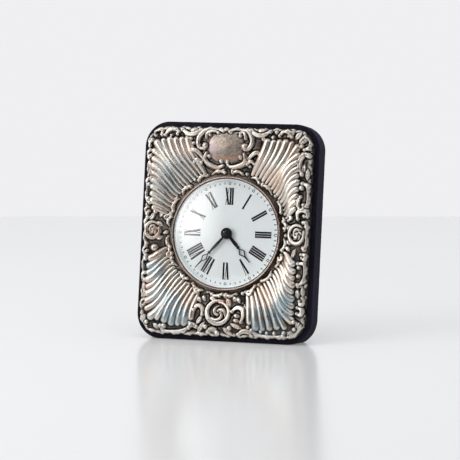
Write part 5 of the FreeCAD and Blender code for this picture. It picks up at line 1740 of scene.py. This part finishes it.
@dataclass(frozen=True)
class EaselStrut:
    """The velvet-covered strut that swings out behind the board."""

    pivot_y: float = 17.95
    pivot_z: float = 104.0
    open_deg: float = 22.0
    middle_y: float = 17.0
    half_thickness: float = 1.6
    side_roll: float = 1.1
    top_gap: float = 4.0
    length: float = 103.05
    waist_share: float = 0.63
    halves: tuple[float, float, float] = (22.0, 12.5, 13.5)
    foot_share: float = 0.96
    face_share: float = 0.96
    top_corner: float = 4.0
    foot_gap: float = 0.02
    side_points: int = 9
    face_points: int = 6
    rows: int = 60
    top_rows: int = 9
    top_share: float = 0.04
    first_drop: float = 0.0006
    straight_from: float = 0.06
    flat_share: float = 2.3
    turn_in: float = 4.0

    def half_width(self, z: Array) -> Array:
        """Gives half the strut's width.

        Args:
            z: Heights of the closed strut.

        Returns:
            The half widths, rounded off at the top.
        """
        top, bottom = self.pivot_z - self.top_gap, self.pivot_z - self.length
        shares = np.clip((z - bottom) / (top - bottom), 0, 1)
        fit = np.polyfit((0.0, self.waist_share, self.foot_share), self.halves, 2)
        down = np.clip(top - z, 0, self.top_corner)
        tuck = self.top_corner - np.sqrt(self.top_corner**2 - (self.top_corner - down) ** 2)
        return np.polyval(fit, shares) - tuck

    def swing(self, points: Array) -> Array:
        """Opens the strut about its hinge pin.

        Args:
            points: Rows of upright-frame places of the closed strut.

        Returns:
            The rows of the open one.
        """
        turn = math.radians(self.open_deg)
        dy, dz = points[:, 1] - self.pivot_y, points[:, 2] - self.pivot_z
        return np.column_stack((points[:, 0],
                                self.pivot_y + dy * math.cos(turn) - dz * math.sin(turn),
                                self.pivot_z + dy * math.sin(turn) + dz * math.cos(turn)))

    def sole_height(self, y: Array) -> Array:
        """Gives the closed strut's height at which the open one meets the ground.

        Args:
            y: Depths of the closed strut.

        Returns:
            The heights.
        """
        turn = math.radians(self.open_deg)
        dy = y - self.pivot_y
        rise = ((self.pivot_y + dy * math.cos(turn)) * math.sin(FRAME.lean)
                - (self.pivot_z + dy * math.sin(turn)) * math.cos(FRAME.lean))
        return self.pivot_z + rise / math.cos(turn - FRAME.lean) + self.foot_gap

    def mesh(self) -> tuple[Piece, Piece]:
        """Builds the velvet that wraps the strut's back and sides, and its lining.

        Returns:
            Both pieces.
        """
        sides, faces, thick = self.side_points, self.face_points, self.half_thickness
        sleeve = 2 * sides + faces
        side = np.radians(np.linspace(-90, 90, sides))
        across = np.linspace(1, -1, faces + 2)[1:-1]
        bulge = self.side_roll * (np.cos(side) - 1)
        y = np.concatenate((thick * np.sin(side), np.full(faces, thick),
                            thick * np.sin(side[::-1]), np.full(faces, -thick))) + self.middle_y
        top = self.pivot_z - self.top_gap
        curve = 1 - np.cos(np.linspace(0, math.pi / 2, self.top_rows))
        drop = np.concatenate((self.top_share * curve,
                               np.linspace(self.straight_from, 1.0, self.rows)))
        drop[0] = self.first_drop
        rows = []
        for share in drop:
            z = top + (self.sole_height(y) - top) * share
            half = self.half_width(z)
            x = np.concatenate((half[:sides] + bulge,
                                half[sides:sides + faces] * across * self.face_share,
                                -half[sides + faces:sleeve] - bulge[::-1],
                                half[sleeve:] * across[::-1] * self.face_share))
            rows.append(self.swing(np.column_stack((x, y, z))))
        outer = np.vstack([row[:sleeve] for row in rows])
        lining = np.vstack([np.vstack((row[sleeve - 1:], row[:1])) for row in rows])
        turned_in = [tuple(range(sleeve))]
        sleeve_faces = grid_faces(len(rows), sleeve, False, flip=True) + turned_in
        lining_faces = grid_faces(len(rows), faces + 2, False, flip=True)
        return (make_piece("strut_velvet", outer, sleeve_faces, Body.STRUT),
                make_piece("strut_lining", lining, lining_faces, Body.STRUT))

    def build(self, rack: FinishRack) -> None:
        """Builds the sleeve and puts it in place of its solid.

        Args:
            rack: The finishes.
        """
        for piece in self.mesh():
            rack.lay(piece, "velvet")
            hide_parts("strut_cover")


# ---------------------------------------------------------------- clock face


@dataclass(frozen=True)
class Hand:
    """One hand's outline, where it points, and the body and solid that it goes with."""

    name: str
    node: str
    body: Body
    turn_deg: float
    back: float
    shaft: tuple[Point, ...]
    diamond: Span
    tip: float
    thickness: float = 0.34
    rim: float = 0.60
    rim_point: float = 1.7
    tip_halves: Pair = (0.42, 0.19)
    tip_overlap: float = 0.5

    def shapes(self) -> list[list[Point]]:
        """Draws the hand along its own length: shaft, open diamond and tip.

        Returns:
            The corners of each convex shape.
        """
        start, waist, end, half = self.diamond
        point = self.rim * self.rim_point
        shapes = [[(a, -p), (b, -q), (b, q), (a, p)]
                  for (a, p), (b, q) in zip(self.shaft, self.shaft[1:])]
        for side in (-1, 1):
            inner = side * (half - self.rim)
            shapes.append([(start, 0), (waist, side * half), (waist, inner), (start + point, 0)])
            shapes.append([(waist, side * half), (end, 0), (end - point, 0), (waist, inner)])
        wide, narrow = self.tip_halves
        root = end - self.tip_overlap
        shapes.append([(root, -wide), (self.tip, -narrow), (self.tip, narrow), (root, wide)])
        return shapes

    def build(self) -> Piece:
        """Builds the hand.

        Returns:
            The piece.
        """
        turn = math.radians(90 - self.turn_deg)
        c, s = math.cos(turn), math.sin(turn)
        turned = [[(a * c - b * s, a * s + b * c) for a, b in shape] for shape in self.shapes()]
        points, faces = slabs(turned, self.back - self.thickness, self.back, closed=True)
        return make_piece(self.name, points, faces, self.body, smooth=False)


@dataclass(frozen=True)
class ClockFace:
    """The dial's print, the hands, the rolled bezel ring and the domed glass."""

    dial_front: float = 1.3
    print_depth: float = 0.05
    figure_foot: float = 16.4
    figure_height: float = 9.7
    stem: float = 1.05
    hair: float = 0.34
    serif: float = 0.24
    advance: Pair = (1.30, 2.75)
    bearings: Pair = (0.62, 0.42)
    serifs: Pair = (1.24, 0.84)
    serif_share: float = 0.98
    slant_share: float = 1.05
    v_foot: Pair = (0.1, 0.15)
    words: tuple[str, ...] = ("XII", "I", "II", "III", "IIII", "V", "VI", "VII", "VIII", "IX",
                              "X", "XI")
    track: Pair = (28.0, 29.0)
    tick_half: float = 0.25
    minute_ring: Pair = (0.48, 0.82)
    minute_ring_sides: int = 16
    print_sunk: float = 0.002
    bezel_inner: float = 31.35
    bezel_outer: float = 32.5
    bezel_seat: float = -1.5
    bezel_front: float = -3.2
    bezel_wall: float = 0.5
    bezel_turn: float = 0.12
    bezel_steps: int = 15
    glass_radius: float = 31.3
    glass_crown: float = -4.38
    glass_rise: float = 1.9
    glass_thickness: float = 0.8
    glass_rings: int = 25
    glass_pole: float = 0.05
    lip_foot: float = 30.12
    lip_sunk: float = 0.02
    lip_overlap: float = 0.1
    lip: tuple[Point, ...] = ((30.2, -1.45), (30.3, -1.54), (31.0, -1.57))
    lip_front: float = -1.6
    turns: int = 192
    hour: Hand = Hand(
        "hour_hand_open", "hour_hand", Body.HOUR, turn_deg=138.5, back=0.70,
        shaft=((0.9, 2.4), (2.6, 1.5), (3.2, 0.75), (6.5, 1.0), (8.6, 0.95), (9.7, 0.5),
               (10.0, 0.95), (10.6, 0.95), (11.1, 0.4)),
        diamond=(10.9, 14.0, 17.6, 2.05), tip=21.3)
    minute: Hand = Hand(
        "minute_hand_open", "minute_hand", Body.MINUTE, turn_deg=222.0, back=-0.20,
        shaft=((0.9, 2.4), (2.6, 1.4), (3.2, 0.6), (8.2, 0.86), (11.5, 0.74), (14.4, 0.42),
               (14.7, 0.95), (15.2, 0.95), (15.7, 0.35)),
        diamond=(15.5, 18.9, 22.3, 1.8), tip=27.0)

    def lathe(self, name: str, profile: Sequence[Point], flip: bool = False) -> Piece:
        """Turns a profile about the dial's axis.

        Args:
            name: The piece's name.
            profile: Radius and depth of each point.
            flip: Whether the faces are wound the other way.

        Returns:
            The piece.
        """
        turn = np.linspace(0, 2 * math.pi, self.turns, endpoint=False)
        rows = [np.column_stack((r * np.cos(turn), np.full_like(turn, y),
                                 r * np.sin(turn) + FRAME.axis_height)) for r, y in profile]
        return make_piece(name, np.vstack(rows), grid_faces(len(rows), self.turns, True, flip),
                          Body.UNIT)

    def bezel(self) -> Piece:
        """Builds the rolled ring that holds the glass.

        Returns:
            The piece.
        """
        inner, outer, base = self.bezel_inner, self.bezel_outer, self.bezel_seat - self.bezel_wall
        middle, half = (inner + outer) / 2, (outer - inner) / 2
        turns = np.linspace(self.bezel_turn, math.pi - self.bezel_turn, self.bezel_steps)
        roll = [(middle - half * math.cos(a), base + (self.bezel_front - base) * math.sin(a))
                for a in turns]
        profile = [(inner, self.bezel_seat), (inner, base), *roll, (outer, base),
                   (outer, self.bezel_seat), (inner, self.bezel_seat)]
        return self.lathe("bezel_roll", profile, flip=True)

    def glass(self) -> Piece:
        """Builds the domed glass with its inner face.

        Returns:
            The piece.
        """
        steps = np.linspace(0.0, 1.0, self.glass_rings + 1)[1:]
        outer = [(self.glass_radius * t, self.glass_crown + self.glass_rise * t * t) for t in steps]
        outer = [(self.glass_pole, self.glass_crown)] + outer
        inner = [(r, y + self.glass_thickness) for r, y in reversed(outer)]
        return self.lathe("glass_dome", outer + inner + outer[:1], flip=True)

    def reflector(self) -> Piece:
        """Builds the pale lip between the dial and the ring, and gives the piece."""
        profile = [(self.lip_foot, self.dial_front - self.lip_sunk), *self.lip,
                   (self.bezel_inner + self.lip_overlap, self.lip_front)]
        return self.lathe("dial_reflector", profile, flip=True)

    def hands(self, rack: FinishRack) -> None:
        """Builds both hands and puts them in place of their solids.

        Args:
            rack: The finishes.
        """
        for hand in (self.hour, self.minute):
            piece = hand.build()
            rack.lay(piece, "hand_black")
            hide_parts(hand.node)

    def bar(self, a: Point, b: Point, width: float) -> list[Point]:
        """Gives the corners of a straight stroke with level ends."""
        h = width / 2
        return [(a[0] - h, a[1]), (a[0] + h, a[1]), (b[0] + h, b[1]), (b[0] - h, b[1])]

    def letter(self, kind: str, x: float) -> list[list[Point]]:
        """Draws one Roman letter as convex shapes.

        Args:
            kind: I, V or X.
            x: Its left edge.

        Returns:
            The corners of each shape, feet at 0.
        """
        top, s = self.figure_height, self.serif
        long, short = self.serifs
        slant = self.stem * self.slant_share
        if kind == "I":
            mid = x + self.advance[0] / 2
            wide = self.advance[0] * self.serif_share
            return [self.bar((mid, 0), (mid, top), self.stem), self.bar((mid, 0), (mid, s), wide),
                    self.bar((mid, top - s), (mid, top), wide)]
        left, right = x + self.bearings[0], x + self.advance[1] - self.bearings[1]
        shapes = [self.bar((left, top - s), (left, top), long),
                  self.bar((right, top - s), (right, top), short)]
        if kind == "V":
            low = (left + right) / 2 + self.v_foot[0]
            return shapes + [self.bar((low, 0), (left, top), slant),
                             self.bar((low + self.v_foot[1], 0), (right, top), self.hair)]
        return shapes + [self.bar((right, 0), (left, top), slant),
                         self.bar((left, 0), (right, top), self.hair),
                         self.bar((left, 0), (left, s), short),
                         self.bar((right, 0), (right, s), long)]

    def figures(self) -> list[list[Point]]:
        """Lays the twelve numerals round the dial, feet to the centre.

        Returns:
            The corners of each shape about the dial's axis.
        """
        shapes = []
        for hour, word in enumerate(self.words):
            steps = [self.advance[0] if c == "I" else self.advance[1] for c in word]
            turn = math.radians(90 - 30 * hour)
            out, along = (math.cos(turn), math.sin(turn)), (math.sin(turn), -math.cos(turn))
            x = -sum(steps) / 2
            for kind, step in zip(word, steps):
                for shape in self.letter(kind, x):
                    shapes.append([((self.figure_foot + q) * out[0] + p * along[0],
                                    (self.figure_foot + q) * out[1] + p * along[1])
                                   for p, q in shape])
                x += step
        return shapes

    def minutes(self) -> list[list[Point]]:
        """Lays the minute ticks and the small rings at every fifth minute.

        Returns:
            The corners of each shape about the dial's axis.
        """
        shapes = []
        low, high = self.track
        mid, h = (low + high) / 2, self.tick_half
        inner, outer = self.minute_ring
        ring = [(math.cos(a), math.sin(a))
                for a in np.linspace(0, 2 * math.pi, self.minute_ring_sides + 1)]
        for minute in range(60):
            turn = math.radians(6 * minute)
            c, s = math.cos(turn), math.sin(turn)
            if minute % 5:
                shapes.append([(low * c - h * s, low * s + h * c),
                               (low * c + h * s, low * s - h * c),
                               (high * c + h * s, high * s - h * c),
                               (high * c - h * s, high * s + h * c)])
                continue
            for (ca, sa), (cb, sb) in zip(ring, ring[1:]):
                shapes.append([(mid * c + inner * ca, mid * s + inner * sa),
                               (mid * c + outer * ca, mid * s + outer * sa),
                               (mid * c + outer * cb, mid * s + outer * sb),
                               (mid * c + inner * cb, mid * s + inner * sb)])
        return shapes

    def printed(self, name: str, shapes: Sequence[Sequence[Point]]) -> Piece:
        """Raises printed shapes as a thin layer of ink, and gives the piece."""
        points, faces = slabs(shapes, self.dial_front - self.print_depth,
                              self.dial_front - self.print_sunk, closed=False)
        return make_piece(name, points, faces, Body.UNIT, smooth=False)

    def build(self, rack: FinishRack) -> None:
        """Builds the print, the hands, the lip, the ring and the glass.

        Args:
            rack: The finishes.
        """
        for piece in (self.printed("hour_figures", self.figures()),
                      self.printed("minute_track", self.minutes())):
            rack.lay(piece, "hand_black")
        self.hands(rack)
        lip = self.reflector()
        rack.lay(lip, "dial_white")
        ring = self.bezel()
        rack.lay(ring, "bezel")
        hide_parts("bezel_ring")
        glass = self.glass()
        rack.lay(glass, "glass")
        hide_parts("glass_lens")


# ---------------------------------------------------------------- studio


@dataclass(frozen=True)
class Stand:
    """Where something of the studio stands about the clock, and its size in metres."""

    name: str
    azimuth: float
    elevation: float
    distance: float
    size: Pair

    CLOCK_MIDDLE = (0.0, 0.0, 0.06)

    @property
    def towards(self) -> Vector:
        """The direction in which it stands."""
        return Studio.direction(self.azimuth, self.elevation)

    @property
    def middle(self) -> Vector:
        """The place of its middle."""
        return Vector(self.CLOCK_MIDDLE) + self.towards * self.distance

    def corners(self) -> tuple[Vector, Vector, Vector, Vector]:
        """Gives the corners of a card that faces the clock.

        Returns:
            The four corners.
        """
        towards, middle = self.towards, self.middle
        right = Vector((-towards.y, towards.x, 0.0)).normalized() * self.size[0] / 2
        up = towards.cross(right).normalized() * self.size[1] / 2
        return middle - right - up, middle + right - up, middle + right + up, middle - right + up


@dataclass(frozen=True)
class WindowGlow:
    """The window that the silver reflects: a card that fades out towards the front."""

    stand: Stand = Stand("window_panel", -46.0, 20.0, 1.0, (1.24, 1.04))
    colour: Colour = (1.0, 0.985, 0.96)
    strength: float = 6.4
    least: float = 0.06
    fade_deg: Pair = (-19.5, -35.0)
    fade_power: float = 1.15
    far_deg: Pair = (-35.0, -50.0)
    far_share: float = 0.20
    low_heights: Pair = (0.11, 0.25)
    low_share: float = 0.22

    def material(self) -> Material:
        """Builds the glow.

        Returns:
            The material.
        """
        bench = NodeBench(self.stand.name)
        place = bench.new("ShaderNodeSeparateXYZ", Vector=bench.place).outputs
        turn = bench.sums("ARCTAN2", place["X"], bench.sums("MULTIPLY", place["Y"], -1.0))
        start, full = (math.radians(angle) for angle in self.fade_deg)
        far, end = (math.radians(angle) for angle in self.far_deg)
        soft = bench.sums("POWER", bench.span(turn, (start, full, 0.0, 1.0)), self.fade_power)
        soft = bench.sums("MULTIPLY", soft, bench.span(turn, (far, end, 1.0, self.far_share)))
        rise = bench.span(place["Z"], (*self.low_heights, self.low_share, 1.0))
        soft = bench.sums("MULTIPLY", bench.sums("MULTIPLY", soft, rise), self.strength)
        glow = bench.new("ShaderNodeEmission", Color=self.colour,
                         Strength=bench.sums("ADD", soft, self.least))
        return bench.show(glow.outputs["Emission"])


@dataclass(frozen=True)
class Studio:
    """The pale table, the soft lights and the camera at the photograph's angle."""

    azimuth_deg: float = 19.0
    elevation_deg: float = 6.2
    distance: float = 1.45
    pixels_per_mm: float = 1.764
    frame_pixels: float = 460.0
    dial_pixel: Point = (225.9, 233.4)
    table_behind: float = 0.665
    backdrop: Colour = (0.865, 0.865, 0.882)
    table: Colour = (0.715, 0.715, 0.725)
    table_reach: float = 5.0
    table_gloss: float = 0.2
    table_shine: float = 0.3
    table_glow: float = 0.17
    table_lighter: float = 1.01
    table_grain: Grain = Grain(3.0)
    tone_reach: Pair = (0.3, 0.7)
    daylight: Colour = (0.96, 0.98, 1.0)
    daylight_strength: float = 0.50
    sensor_mm: float = 36.0
    aim_y: float = -2.0
    clip: Pair = (0.05, 30.0)
    lamps: tuple[tuple[Stand, float, Colour], ...] = (
        (Stand("window_key", -44.0, 22.0, 1.05, (0.62, 0.95)), 5.3, (1.0, 0.985, 0.96)),
        (Stand("top_fill", 10.0, 78.0, 1.2, (0.9, 0.7)), 3.2, (0.97, 0.985, 1.0)))
    lamp_aim: tuple[float, float, float] = (0.0, -0.02, 0.06)
    glow: WindowGlow = WindowGlow()
    card_lighter: float = 1.3
    card_gloss: float = 0.9
    card_grain: Grain = Grain(4.0)
    cards: tuple[tuple[Stand, float], ...] = (
        (Stand("dark_card_right", 84.0, 10.0, 0.95, (1.7, 1.1)), 0.05),
        (Stand("dark_card_front", 16.0, 12.0, 1.9, (2.5, 1.15)), 0.06))

    @staticmethod
    def direction(azimuth: float, elevation: float) -> Vector:
        """Gives the direction towards that azimuth and elevation, in degrees."""
        a, e = math.radians(azimuth), math.radians(elevation)
        return Vector((math.sin(a) * math.cos(e), -math.cos(a) * math.cos(e), math.sin(e)))

    def camera(self) -> None:
        """Sets up the camera."""
        back = self.direction(self.azimuth_deg, self.elevation_deg)
        right = Vector((math.cos(math.radians(self.azimuth_deg)),
                        math.sin(math.radians(self.azimuth_deg)), 0.0))
        up = back.cross(right)
        dial = Vector(FRAME.to_row(np.array([(0.0, self.aim_y, FRAME.axis_height)]))[0])
        half = self.frame_pixels / 2
        aim = (dial + right * ((half - self.dial_pixel[0]) / self.pixels_per_mm * MM)
               + up * ((self.dial_pixel[1] - half) / self.pixels_per_mm * MM))
        lens = bpy.data.cameras.new("camera")
        lens.sensor_width = self.sensor_mm
        lens.lens = self.sensor_mm * self.pixels_per_mm * self.distance / MM / self.frame_pixels
        lens.clip_start, lens.clip_end = self.clip
        camera = bpy.data.objects.new("camera", lens)
        camera.location = aim + back * self.distance
        camera.rotation_mode = "QUATERNION"
        camera.rotation_quaternion = (-back).to_track_quat("-Z", "Y")
        bpy.context.scene.collection.objects.link(camera)
        bpy.context.scene.camera = camera

    def lamp(self, stand: Stand, watts: float, colour: Colour) -> None:
        """Hangs a soft lamp that faces the clock.

        Args:
            stand: Its name, place and size.
            watts: Its power.
            colour: Its colour.
        """
        light = bpy.data.lights.new(stand.name, "AREA")
        light.shape = "RECTANGLE"
        light.size, light.size_y = stand.size
        light.energy = watts
        light.color = colour
        lamp = bpy.data.objects.new(stand.name, light)
        lamp.location = Vector(self.lamp_aim) + stand.towards * stand.distance
        lamp.visible_glossy = False
        lamp.rotation_mode = "QUATERNION"
        lamp.rotation_quaternion = (-stand.towards).to_track_quat("-Z", "Y")
        bpy.context.scene.collection.objects.link(lamp)

    def panel(self, name: str, corners: Sequence[Vector], material: Material) -> Piece:
        """Sets up a flat stage piece.

        Args:
            name: Its name.
            corners: Its four corners.
            material: What it is made of.

        Returns:
            The piece.
        """
        mesh = bpy.data.meshes.new(name)
        mesh.from_pydata([tuple(c) for c in corners], [], [(0, 1, 2, 3)])
        mesh.materials.append(material)
        piece = bpy.data.objects.new(name, mesh)
        bpy.context.scene.collection.objects.link(piece)
        return piece

    def table_top(self) -> None:
        """Lays the glossy pale table, which ends a little behind the clock."""
        bench = NodeBench("table_top")
        lighter = tuple(c * self.table_lighter for c in self.table)
        tone = bench.ramp(bench.noise(self.table_grain),
                          tuple(zip(self.tone_reach, (self.table, lighter))))
        seen = bench.any_ray("Is Camera Ray", "Is Glossy Ray", "Is Transmission Ray")
        material = bench.principled(Base_Color=tone, Roughness=self.table_gloss,
                                    Specular_IOR_Level=self.table_shine,
                                    Emission_Color=(1.0, 1.0, 1.0, 1.0),
                                    Emission_Strength=bench.sums("MULTIPLY", seen,
                                                                 self.table_glow))
        towards = self.direction(self.azimuth_deg, 0.0)
        side = Vector((-towards.y, towards.x, 0.0)) * self.table_reach
        near, far = towards * self.table_reach, towards * -self.table_behind
        self.panel("table_top", (near - side, near + side, far + side, far - side), material)

    def card(self, stand: Stand, material: Material) -> None:
        """Stands a card outside the view, for the metal and the glass to reflect.

        Args:
            stand: Its name, place and size.
            material: What it is made of.
        """
        card = self.panel(stand.name, stand.corners(), material)
        card.visible_camera = False
        card.visible_diffuse = False
        card.visible_shadow = False

    def dark_card(self, name: str, grey: float) -> Material:
        """Builds the matt dark finish of a card.

        Args:
            name: The material's name.
            grey: How light it is.

        Returns:
            The material.
        """
        bench = NodeBench(name)
        tones = (grey,) * 3, (grey * self.card_lighter,) * 3
        tone = bench.ramp(bench.noise(self.card_grain), tuple(zip(self.tone_reach, tones)))
        return bench.principled(Base_Color=tone, Roughness=self.card_gloss)

    def room(self) -> None:
        """Sets the plain pale surroundings, seen as the backdrop's own colour."""
        world = bpy.data.worlds.new("studio")
        bpy.context.scene.world = world
        world.use_nodes = True
        bench = TreeBench(world.node_tree)
        light = bench.new("ShaderNodeBackground", Color=self.daylight,
                          Strength=self.daylight_strength)
        shown = bench.new("ShaderNodeBackground", Color=self.backdrop, Strength=1.0)
        seen = bench.any_ray("Is Camera Ray", "Is Glossy Ray", "Is Transmission Ray")
        mix = bench.mix_shaders(seen, light.outputs["Background"], shown.outputs["Background"])
        bench.new("ShaderNodeOutputWorld", Surface=mix)

    def build(self) -> None:
        """Sets up the whole studio."""
        self.camera()
        self.room()
        self.table_top()
        for stand, watts, colour in self.lamps:
            self.lamp(stand, watts, colour)
        self.card(self.glow.stand, self.glow.material())
        for stand, grey in self.cards:
            self.card(stand, self.dark_card(stand.name, grey))
        bpy.context.scene.view_settings.view_transform = "Standard"
        LOG.info("studio: camera, table, two lamps, the window and two dark cards")


def main() -> None:
    """Builds the clock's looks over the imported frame."""
    logging.basicConfig(level=logging.INFO, format="%(name)s: %(message)s")
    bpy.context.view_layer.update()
    rack = FinishRack()
    rack.dress_nodes()
    SilverFront().build(rack)
    VelvetBoard().build(rack)
    EaselStrut().build(rack)
    ClockFace().build(rack)
    Studio().build()


if __name__ == "__main__":
    main()
